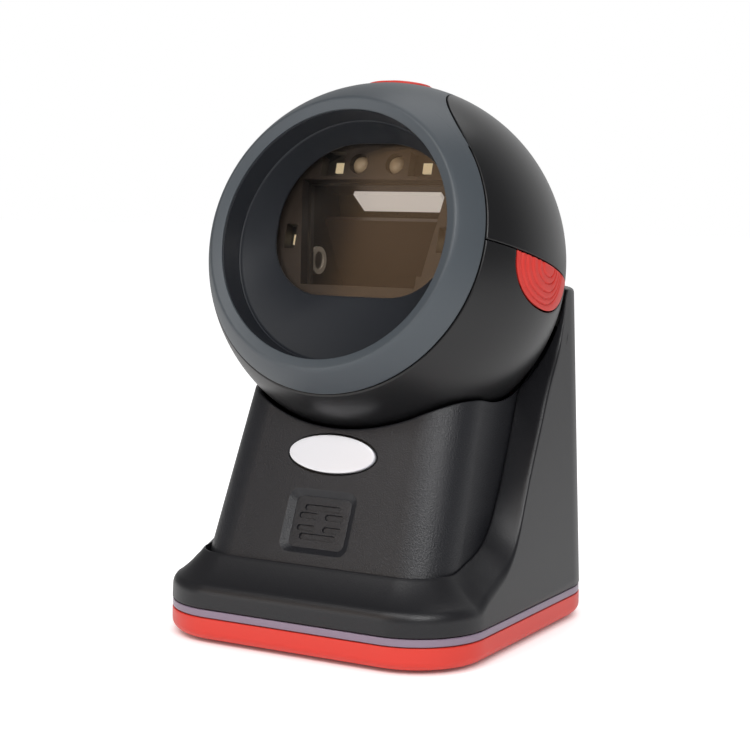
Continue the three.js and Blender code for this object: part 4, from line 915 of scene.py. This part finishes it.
def window_outline(margin: float = 0.0, steps: int = 60) -> Array:
    """(x, up) outline of the scan window: large corners above, smaller ones below."""
    half, high, low = WINDOW.half_width + margin, WINDOW.top_corner + margin, WINDOW.bottom_corner + margin
    top_level, bottom_level = WINDOW.top + margin - high, WINDOW.bottom - margin + low
    parts = []
    for sign, corner, level, start in ((1, high, top_level, 0.0), (-1, high, top_level, 0.5),
                                       (-1, low, bottom_level, 1.0), (1, low, bottom_level, 1.5)):
        angle = np.linspace(0, math.pi / 2, steps) + start * math.pi
        x = sign * (half - corner) + corner * np.cos(angle)
        parts.append(np.stack([x, level + corner * np.sin(angle)], axis=-1))
    return np.concatenate(parts)


def window_radius(angle: Array) -> Array:
    """Distance from the reading axis to the window's outline, in each direction."""
    outline = resampled(np.concatenate([window_outline(), window_outline()[:1]]), 4000)
    around = np.unwrap(np.arctan2(outline[:, 1], outline[:, 0]))
    length = np.linalg.norm(outline, axis=1)
    order = np.argsort(around)
    around, length = around[order], length[order]
    return np.interp(np.mod(angle - around[0], 2 * math.pi) + around[0], around, length)


# ---------------------------------------------------------------- stand
def side_edge(y: Array) -> Array:
    """Height of the side wall's front edge, front to back: low over the ledge, then a long rising sweep."""
    stops = np.array([-60, -33, -26.7, -20.7, -17.5, -14.4, -11.1, -7.8, -4.3,
                      -0.8, 6.1, 13, 20.5, 23.4, 25.3, 27, 60])
    highs = np.array([14.6, 14.8, 17.6, 20.2, 21.7, 23.9, 27.2, 32.1, 38.9,
                      45.6, 57.3, 68.9, 79.7, 86.2, 92, 95.0, 95.6])
    return smooth_interp(y, stops, highs)


def crease_height(y: Array) -> Array:
    """Height of the line where the side band meets the front cover."""
    stops = np.array([-60, -33, -26.7, -20.7, -14.4, -11.2, -7.8, -4.4, -0.8,
                      2.8, 6.5, 10.4, 13, 20.5, 25.3, 27, 60])
    highs = np.array([23.5, 23.5, 24.7, 25.8, 28.2, 30.5, 33.9, 38.6, 44.0,
                      50.2, 56.9, 64.4, 68.6, 79.7, 92, 95.0, 95.6])
    return smooth_interp(y, stops, highs)


def smooth_interp(x: Array, xs: Array, ys: Array) -> Array:
    """Interpolation through points that never overshoots: cubic pieces with limited slopes."""
    step = np.diff(xs)
    slope = np.diff(ys) / step
    product = slope[:-1] * slope[1:]
    inner = np.where(product > 0, 2 * product / (slope[:-1] + slope[1:] + 1e-12), 0)
    tangent = np.concatenate([[slope[0]], inner, [slope[-1]]])
    k = np.clip(np.searchsorted(xs, x) - 1, 0, len(step) - 1)
    t = np.clip((x - xs[k]) / step[k], 0, 1)
    h00, h10 = 2 * t**3 - 3 * t**2 + 1, t**3 - 2 * t**2 + t
    h01, h11 = -2 * t**3 + 3 * t**2, t**3 - t**2
    return h00 * ys[k] + h10 * step[k] * tangent[k] + h01 * ys[k + 1] + h11 * step[k] * tangent[k + 1]


def plan_ring(inset: float, count: int = 360) -> tuple[Array, Array]:
    """The stand's plan and its outward normals, evenly spaced, starting at the middle of the back."""
    corner = max(STAND.corner - inset, 2.0)
    loop = rounded_rectangle(0, STAND.middle_y, STAND.half_width - inset, STAND.half_depth - inset, corner, 40)
    start = np.array([[0.0, STAND.middle_y + STAND.half_depth - inset]])
    loop = np.concatenate([start, loop[40:], loop[:40], start])
    ring = resampled(loop, count + 1)[:-1]
    ahead, behind = np.roll(ring, -1, axis=0), np.roll(ring, 1, axis=0)
    tangent = ahead - behind
    tangent /= np.linalg.norm(tangent, axis=1, keepdims=True)
    return ring, np.stack([tangent[:, 1], -tangent[:, 0]], axis=-1)


def cover_section(z: float, inset: float) -> Array:
    """Horizontal section of the front cover: bowed front, round corners, straight sides."""
    front = STAND.cover_y + (z - STAND.ledge_z) * math.tan(math.radians(STAND.cover_lean)) + inset
    half = STAND.cover_half_width - STAND.cover_narrowing * (z - STAND.ledge_z) - inset
    corner = STAND.cover_corner - inset
    flat = half - corner
    x = np.linspace(-flat, flat, 60)
    face = np.stack([x, front + STAND.cover_bow * (x / half) ** 2], axis=-1)
    side_y = front + STAND.cover_bow * (flat / half) ** 2 + corner
    turn = np.linspace(0, math.pi / 2, 40)[1:]
    right = np.stack([flat + corner * np.sin(turn), side_y - corner * np.cos(turn)], axis=-1)
    depth = np.linspace(0, 1, 42)[1:, None]
    side = np.array([[half, side_y]]) * (1 - depth) + np.array([[half, STAND.cover_back_y]]) * depth
    right = np.concatenate([right, side])
    left = (right * [-1, 1])[::-1]
    loop = np.concatenate([left, face, right])
    return np.concatenate([loop, np.full((len(loop), 1), z)], axis=1)


def to_sphere(low: Array, high: Array, radius: float) -> Array:
    """Share of the way from low to high at which each line first enters a sphere about the ball's centre."""
    span, offset = high - low, low - BALL_CENTRE
    a = (span**2).sum(-1)
    b = 2 * (span * offset).sum(-1)
    c = (offset**2).sum(-1) - radius**2
    root = b**2 - 4 * a * c
    return np.where(root > 0, (-b - np.sqrt(np.maximum(root, 0))) / (2 * a), 1.0)


class StandSkins:
    """The stand's mouldings."""

    def __init__(self, shop: Workshop) -> None:
        self.shop = shop

    def build(self) -> None:
        """Make every outer moulding of the stand."""
        self._base()
        self._shell()
        self._cover()
        self._badge()
        self._grille()

    @staticmethod
    def _plan_rows(profile: Array, count: int) -> list[Array]:
        """Rows of a path of (inset, z) carried round the stand's plan."""
        return [np.concatenate([plan_ring(inset, count)[0], np.full((count, 1), z)], axis=1)
                for inset, z in profile]

    def _base(self) -> None:
        """Red tray with a rounded lower edge, and the violet band above it."""
        tray = rounded([(3.0, STAND.plate_top), (0.0, STAND.plate_top), (0.0, 3.2), (0.5, 2.2),
                        (1.9, STAND.foot_z),
                        (12.0, STAND.foot_z), (30.0, STAND.foot_z)], [0, 0.35, 1.6, 1.2, 1.2, 0, 0], 7)
        rows = self._plan_rows(tray, 360)
        rows.append(np.tile([[0.0, STAND.middle_y, STAND.foot_z]], (360, 1)))
        self.shop.piece("base_tray", [Sheet(np.stack(rows), wrap=True)], "base_red", "stand", "base_plate")
        low, high = STAND.plate_top + 0.25, STAND.strip_top + 0.05
        band = rounded([(3.0, low), (0.12, low), (0.12, high), (3.0, high)], [0, 0.3, 0.3, 0], 5)
        rows = self._plan_rows(band, 320)
        self.shop.piece("violet_band", [Sheet(np.stack([*rows, rows[0]]), wrap=True)],
                        "strip_violet", "stand", "light_strip")

    def _wall_line(self, count: int) -> tuple[Array, Array, Array]:
        """Plan of the outer wall, its normals, and the height of the wall's top edge round the stand."""
        ring, normal = plan_ring(0.0, count)
        x, y = ring[:, 0], ring[:, 1]
        front_y, rear_y = -33, 30
        lip = STAND.lip_z - 0.2 * np.clip(1 - (front_y - y) / 6, 0, 1)
        height = np.where(y < front_y, lip, side_edge(y))
        fall = np.where(np.abs(x) < STAND.dip_half_width, 1 + np.cos(math.pi * x / STAND.dip_half_width), 0) / 2
        dipped = np.minimum(height, 95.8) - (STAND.top_z - STAND.dip_z) * fall
        return ring, normal, np.where(y > rear_y, dipped, height)

    def _shell(self) -> None:
        """Outer wall, the rounded edge round its top, the band or ledge inside it, and the cup."""
        count = 720
        ring, normal, height = self._wall_line(count)

        def wall(z: Array) -> Array:
            """The drafted outer wall at a height."""
            lean = STAND.draft * (z - STAND.shell_z)
            return np.concatenate([ring - normal * lean[:, None], z[:, None]], axis=1)

        def inward(by: float, down: float = 0.0) -> Array:
            """Step into the stand along the wall's normals, and down."""
            return np.concatenate([-normal * by, np.full((count, 1), -down)], axis=1)

        edge = wall(height)
        side = np.clip((ring[:, 1:] + 34) / 12, 0, 1)
        side = side * side * (3 - 2 * side)
        rear = np.clip((ring[:, 1:] - 24) / 4, 0, 1)
        inner = self._inner_edge(ring, normal, edge, side, rear)
        down = self._inner_drop(inner, inner + inward(1.2, 5.0), ring[:, 1:] > 8)
        hidden = down + inward(-1.0, 6.0)

        width = np.linalg.norm(inner - edge, axis=1, keepdims=True)
        tall = edge[:, 2:] - STAND.shell_z
        outer_round = np.minimum(np.minimum(1.6 + 2.2 * rear, 0.46 * width), 0.4 * tall)
        inner_round = np.minimum(0.55, 0.3 * width)
        foot = wall(np.full(count, STAND.shell_z + 0.05))
        start = wall(np.full(count, STAND.shell_z + 0.3))
        top = rounded_rows(start, edge, inner, outer_round, 9)
        lip = rounded_rows(edge, inner, down, inner_round, 6)
        rows = [foot + inward(2.0), foot + inward(0.25), start]
        rows += [wall(start[:, 2] * (1 - share) + top[0][:, 2] * share)
                 for share in np.linspace(0, 1, 40)[1:-1]]
        rows += top
        rows += [self._band_row(top[-1], lip[0], across, side) for across in np.linspace(0, 1, 14)[1:-1]]
        rows += [*lip, down, hidden]
        self.shop.piece("stand_body", [Sheet(np.stack(rows), wrap=True)], "stand_black", "stand", "stand_shell")

    @staticmethod
    def _inner_edge(ring: Array, normal: Array, edge: Array, side: Array, rear: Array) -> Array:
        """Where the band or ledge ends: at the cover's foot in front, at the cover's side, at the cup behind.

        Args:
            ring: plan of the outer wall.
            normal: its outward normals.
            edge: top edge of the outer wall.
            side: how far each point belongs to the side band, from 0 to 1.
            rear: how far each point belongs to the rear of the cup, from 0 to 1.

        Returns:
            A point of the inner edge for each point of the ring.
        """
        ledge_plan = ring - normal * (STAND.ledge_inset + 0.35)
        ledge = np.concatenate([ledge_plan, np.full((len(ring), 1), STAND.ledge_z)], axis=1)
        crease_z = crease_height(ring[:, 1])
        half = STAND.cover_half_width - STAND.cover_narrowing * (crease_z - STAND.ledge_z) + 0.3
        band = np.stack([np.sign(ring[:, 0]) * half, ring[:, 1], crease_z], axis=-1)
        inner = ledge * (1 - side) + band * side
        share = np.clip(to_sphere(edge, inner, STAND.cup_radius), 0.02, 1.0)
        inner = edge + (inner - edge) * share[:, None]
        level = (STAND.cup_radius + 0.02) ** 2 - (edge[:, 2] - BALL.centre_z) ** 2
        flat = edge[:, :2] - BALL_CENTRE[:2]
        reach = np.sqrt(np.maximum(level, 0))[:, None]
        plan = BALL_CENTRE[:2] + flat / np.linalg.norm(flat, axis=1, keepdims=True) * reach
        return inner * (1 - rear) + np.concatenate([plan, edge[:, 2:]], axis=1) * rear

    @staticmethod
    def _inner_drop(inner: Array, low_front: Array, in_cup: Array) -> Array:
        """The line below the inner edge: down the cup's wall where the cup is, and under the ledge in front."""
        radial = inner - [0, 0, 6] - BALL_CENTRE
        reach = np.linalg.norm(radial, axis=1, keepdims=True)
        below_cup = BALL_CENTRE + radial / reach * np.maximum(reach, STAND.cup_radius)
        return np.where(in_cup, below_cup, low_front)

    @staticmethod
    def _band_row(start: Array, end: Array, across: float, side: Array) -> Array:
        """A line between the wall's edge and the inner edge; the ledge at the front is slightly hollow."""
        row = start * (1 - across) + end * across
        row[:, 2] -= (1 - side[:, 0]) * 0.55 * 4 * across * (1 - across)
        return row

    def _cover(self) -> None:
        """Sloping front cover with a cup rim, cut for the badge and the grille."""
        low_z, high_z = STAND.ledge_z - STAND.cover_foot, STAND.cover_top_z
        low, high = cover_section(low_z, 0.0), cover_section(high_z, 0.0)
        rim = low + (high - low) * np.clip(to_sphere(low, high, STAND.cup_radius), 0.0, 1.0)[:, None]
        inner_low, inner_high = (cover_section(z, STAND.cover_wall) for z in (low_z, high_z))
        inner_share = np.clip(to_sphere(inner_low, inner_high, STAND.cup_radius + 0.6), 0.0, 1.0)
        inner_rim = inner_low + (inner_high - inner_low) * inner_share[:, None]
        inward = rim + [0, 3.0, 0]
        half = abs(inner_high[:, 0]).max()
        inward[:, 0] = np.clip(inward[:, 0], -half, half)
        inward = BALL_CENTRE + towards(BALL_CENTRE, inward) * STAND.cup_radius
        edge = rounded_rows(low, rim, inward, STAND.cover_rim, 8)
        rows = [low + (edge[0] - low) * share for share in np.linspace(0, 1, 60)]
        points = np.stack([*rows, *edge[1:], inward, inner_rim, inner_low, low])
        caps = [np.stack([points[:, end], np.tile(points[:, end].mean(0), (len(points), 1))])
                for end in (0, -1)]
        badge = self._pill(14.0, 5.9, STAND.badge_up, [(1.0, -1.6), (1.0, 4.0)])
        levels = [(0.80, -6.0), (0.80, -1.5), (0.83, -1.35), (0.985, -0.12), (1.02, 0.06), (1.1, 4.0)]
        grille = self._square(10.6, 8.8, 2.8, STAND.grille_up, levels)
        cover = self.shop.carve("cover", [Sheet(points), *map(Sheet, caps)], [badge, grille], 32)
        self.shop.place(cover, "cover_grained", "stand", "front_cover")

    @staticmethod
    def _on_cover(points: Array) -> Array:
        """Place (x, up the slope, out of the face) on the sloping cover."""
        lean = math.radians(STAND.cover_lean)
        x, up, out = points[..., 0], points[..., 1], points[..., 2]
        y = STAND.cover_y + up * math.sin(lean) - out * math.cos(lean)
        z = STAND.ledge_z + up * math.cos(lean) + out * math.sin(lean)
        return np.stack([x, y, z], axis=-1)

    def _stack(self, outline: Array, up: float, levels: list[tuple[float, float]]) -> list[Sheet]:
        """A solid from an outline about (0, up), scaled at each level out of the face, closed at both ends."""
        stations = [(0.0, levels[0][1]), *levels, (0.0, levels[-1][1])]
        rows = [np.stack([outline[:, 0] * size, up + outline[:, 1] * size, np.full(len(outline), out)], axis=-1)
                for size, out in stations]
        return [Sheet(self._on_cover(np.stack(rows)), wrap=True)]

    def _pill(self, half_x: float, half_up: float, up: float, levels: list[tuple[float, float]]) -> list[Sheet]:
        """An oval solid on the cover."""
        angle = np.linspace(0, 2 * math.pi, 128, endpoint=False)
        return self._stack(np.stack([half_x * np.cos(angle), half_up * np.sin(angle)], axis=-1), up, levels)

    def _square(self, half_x: float, half_up: float, corner: float, up: float,
                levels: list[tuple[float, float]]) -> list[Sheet]:
        """A solid with a rounded rectangle as its outline, on the cover."""
        return self._stack(rounded_rectangle(0, 0, half_x, half_up, corner, 12), up, levels)

    def _badge(self) -> None:
        """Plain white oval with a softly domed face."""
        path = rounded([(1.0, -1.2), (1.0, 0.55), (0.9, 0.68), (0.0, 0.8)], [0, 0.12, 0.1, 0], 5)
        levels = [(float(s), float(out)) for s, out in path]
        oval = self._pill(13.25, 5.2, STAND.badge_up, levels)
        self.shop.piece("blank_badge", oval, "badge_white", "stand", "badge")

    def _grille(self) -> None:
        """Sunk square with shallow rounded slots: long, two short, two short, long."""
        levels = [(1.0, -4.5), (1.0, -1.42), (0.99, -1.34), (0.96, -1.3)]
        plate = self._square(8.55, 7.1, 2.0, STAND.grille_up, levels)
        slots = ((0.0, 3.98, 5.6), (-4.0, 1.72, 2.85), (4.0, 1.72, 2.85))
        cutters = [self._slot(x, STAND.grille_up + side * up, half)
                   for side in (-1, 1) for x, up, half in slots]
        grille = self.shop.carve("grille", plate, cutters, 25)
        self.shop.place(grille, "cover_grained", "stand", "speaker_grille")

    def _slot(self, x: float, up: float, half: float) -> list[Sheet]:
        """A round-ended slot of the grille, with a flat floor and a lip that slopes outwards."""
        stations = [(0.0, -1.85), (0.72, -1.85), (0.80, -1.65), (0.84, -1.42),
                    (0.90, -1.2), (0.90, 3.0), (0.0, 3.0)]
        rows = []
        for size, out in stations:
            half_x = half - 0.85 + size if size else 0.0
            outline = rounded_rectangle(x, up, half_x, size, size, 10)
            rows.append(np.concatenate([outline, np.full((len(outline), 1), out)], axis=1))
        rows[0][:, :2] = rows[-1][:, :2] = [x, up]
        return [Sheet(self._on_cover(np.stack(rows)), wrap=True)]


# ---------------------------------------------------------------- inside the window
class WindowBay:
    """Smooth lamps behind the window."""

    def __init__(self, shop: Workshop) -> None:
        self.shop = shop

    def build(self) -> None:
        """Make the two dome lamps."""
        arc, turn = np.linspace(0, math.pi / 2, 14), np.linspace(0, 2 * math.pi, 48, endpoint=False)
        radius = np.concatenate([[0.0, LAMP.radius, LAMP.radius], LAMP.radius * np.cos(arc)])[:, None]
        ahead = np.concatenate([[LAMP.back, LAMP.back, LAMP.shoulder], LAMP.shoulder + LAMP.dome * np.sin(arc)])
        for side, x in (("left", -LAMP.x), ("right", LAMP.x)):
            points = np.stack([x + radius * np.cos(turn), ahead[:, None] + 0 * turn,
                               LAMP.up + radius * np.sin(turn)], axis=-1)
            dome = Sheet(BALL.to_row(points), wrap=True)
            self.shop.piece(f"dome_{side}", [dome], "lamp_dome", "head", f"dome_lamp_{side}")


# ---------------------------------------------------------------- studio
@dataclass(frozen=True)
class Light:
    """An area light aimed at a point."""

    name: str
    place: tuple[float, float, float]
    aim: tuple[float, float, float]
    size: tuple[float, float]
    power: float
    color: tuple[float, float, float] = (1.0, 1.0, 1.0)


@dataclass
class Studio:
    """White sweep, soft lights and the camera."""

    lights: list[Light] = field(default_factory=lambda: [
        Light("front_high", (-0.08, -0.66, 0.80), (0, 0, 0.08), (0.70, 0.26), 2.6),
        Light("warm_card", (-0.32, -0.78, 0.43), (0, -0.02, 0.11), (0.34, 0.42), 0.42, (1.0, 0.62, 0.32)),
        Light("front_low", (-0.40, -0.72, 0.14), (0, 0, 0.06), (0.42, 0.24), 0.62),
        Light("right_front", (0.36, -0.42, 0.44), (0.02, 0, 0.07), (0.34, 0.22), 1.7),
        Light("overhead", (0.0, 0.34, 0.90), (0, 0, 0.08), (0.5, 0.5), 1.2),
    ])
    camera_place: tuple[float, float, float] = (0.24033, -0.42873, 0.12315)
    camera_angles: tuple[float, float, float] = (29.61, 6.14, 0.62)
    focal_length: float = 83.96

    def build(self) -> None:
        """Set up everything around the object."""
        self._world()
        self._floor()
        for light in self.lights:
            self._light(light)
        self._camera()
        bpy.context.scene.view_settings.view_transform = "Standard"

    @staticmethod
    def _world() -> None:
        """A white surround for the camera, and a dim one that brightens behind the object for its light."""
        world = bpy.data.worlds.new("studio")
        bpy.context.scene.world = world
        world.use_nodes = True
        tree = world.node_tree
        background = tree.nodes["Background"]
        background.inputs["Color"].default_value = (1.0, 1.0, 1.0, 1.0)
        coords = tree.nodes.new("ShaderNodeTexCoord")
        axes = tree.nodes.new("ShaderNodeSeparateXYZ")
        behind = tree.nodes.new("ShaderNodeMapRange")
        behind.inputs["From Min"].default_value = 0.45
        behind.inputs["From Max"].default_value = 0.90
        behind.inputs["To Min"].default_value = 0.13
        behind.inputs["To Max"].default_value = 0.80
        path = tree.nodes.new("ShaderNodeLightPath")
        strength = tree.nodes.new("ShaderNodeMapRange")
        strength.inputs["To Max"].default_value = 1.0
        links = tree.links
        links.new(coords.outputs["Generated"], axes.inputs["Vector"])
        links.new(axes.outputs["Y"], behind.inputs["Value"])
        links.new(behind.outputs["Result"], strength.inputs["To Min"])
        links.new(path.outputs["Is Camera Ray"], strength.inputs["Value"])
        links.new(strength.outputs["Result"], background.inputs["Strength"])

    @staticmethod
    def _floor() -> None:
        """A white floor that darkens only where the object stands close to it: ambient occlusion dims its
        emission there, a painted contact shadow.
        """
        mesh = bpy.data.meshes.new("floor")
        reach = 4.0
        corners = [(-reach, -reach, 0), (reach, -reach, 0), (reach, reach, 0), (-reach, reach, 0)]
        mesh.from_pydata(corners, [], [(0, 1, 2, 3)])
        floor = bpy.data.objects.new("floor", mesh)
        bpy.context.scene.collection.objects.link(floor)
        material = bpy.data.materials.new("floor_white")
        material.use_nodes = True
        shader = material.node_tree.nodes["Principled BSDF"]
        shader.inputs["Base Color"].default_value = (0.9, 0.9, 0.9, 1.0)
        shader.inputs["Roughness"].default_value = 0.9
        shader.inputs["Specular IOR Level"].default_value = 0.0
        shader.inputs["Emission Color"].default_value = (1.0, 1.0, 1.0, 1.0)
        tree = material.node_tree
        path = tree.nodes.new("ShaderNodeLightPath")
        strength = tree.nodes.new("ShaderNodeMapRange")
        strength.inputs["To Min"].default_value = 0.34
        strength.inputs["To Max"].default_value = 0.9
        # Painted shadow: ambient occlusion dims the floor's emission close to the object.
        painted_contact_shadow = tree.nodes.new("ShaderNodeAmbientOcclusion")
        painted_contact_shadow.inputs["Distance"].default_value = 0.05
        fade = tree.nodes.new("ShaderNodeMath")
        fade.operation = "MULTIPLY"
        tree.links.new(path.outputs["Is Camera Ray"], strength.inputs["Value"])
        tree.links.new(strength.outputs["Result"], fade.inputs[0])
        tree.links.new(painted_contact_shadow.outputs["AO"], fade.inputs[1])
        tree.links.new(fade.outputs["Value"], shader.inputs["Emission Strength"])
        mesh.materials.append(material)
        floor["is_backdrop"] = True

    @staticmethod
    def _light(light: Light) -> None:
        """Add one area light."""
        data = bpy.data.lights.new(light.name, "AREA")
        data.shape = "RECTANGLE"
        data.size, data.size_y = light.size
        data.energy = light.power
        data.color = light.color
        obj = bpy.data.objects.new(light.name, data)
        obj.location = light.place
        direction = Vector(light.aim) - Vector(light.place)
        obj.rotation_euler = direction.to_track_quat("-Z", "Y").to_euler()
        bpy.context.scene.collection.objects.link(obj)

    def _camera(self) -> None:
        """Add the camera at its place, turned by its azimuth, pitch and roll."""
        azimuth, pitch, roll = (math.radians(angle) for angle in self.camera_angles)
        level = math.cos(pitch)
        forward = Vector((-math.sin(azimuth) * level, math.cos(azimuth) * level, -math.sin(pitch)))
        right = Vector((math.cos(azimuth), math.sin(azimuth), 0.0))
        up = right.cross(forward)
        side = right * math.cos(roll) + up * math.sin(roll)
        top = up * math.cos(roll) - right * math.sin(roll)
        data = bpy.data.cameras.new("camera")
        data.lens = self.focal_length
        data.sensor_width = 36.0
        data.clip_start = 0.01
        camera = bpy.data.objects.new("camera", data)
        turn = Matrix((side, top, -forward)).transposed().to_4x4()
        camera.matrix_world = Matrix.Translation(self.camera_place) @ turn
        bpy.context.scene.collection.objects.link(camera)
        bpy.context.scene.camera = camera


# ---------------------------------------------------------------- assembly
class Scanner:
    """The whole object on its frame."""

    def __init__(self) -> None:
        self.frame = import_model()
        self.paintbox = Paintbox()
        self.shop = Workshop(self.paintbox)
        self.sizes = {"frame": self._span()}

    @staticmethod
    def _span() -> list[list[float]]:
        """The lowest and highest corner of everything built so far, in metres."""
        low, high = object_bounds()
        return [list(low), list(high)]

    def paint_nodes(self) -> None:
        """Give every CAD node the finish of its slot, and crisp edges."""
        slots = {entry["node"]: entry["material_slot"] for entry in self.frame["record"]["subparts"]}
        for name, node in self.frame["nodes"].items():
            node.data.materials.clear()
            node.data.materials.append(self.paintbox.get(slots[name]))
            node.data.polygons.foreach_set("use_smooth", np.ones(len(node.data.polygons), bool))
            node.data.set_sharp_from_angle(angle=math.radians(32))

    def build(self) -> None:
        """Paint the frame and add the finer pieces."""
        self.paint_nodes()
        HeadSkins(self.shop).build()
        StandSkins(self.shop).build()
        WindowBay(self.shop).build()
        Studio().build()

    def write_sizes(self) -> None:
        """Record the size of the frame and of the finished model."""
        self.sizes["model"] = self._span()


def main() -> None:
    """Build the scene."""
    logging.basicConfig(level=logging.INFO)
    scanner = Scanner()
    scanner.build()
    scanner.write_sizes()


if __name__ == "__main__":
    main()
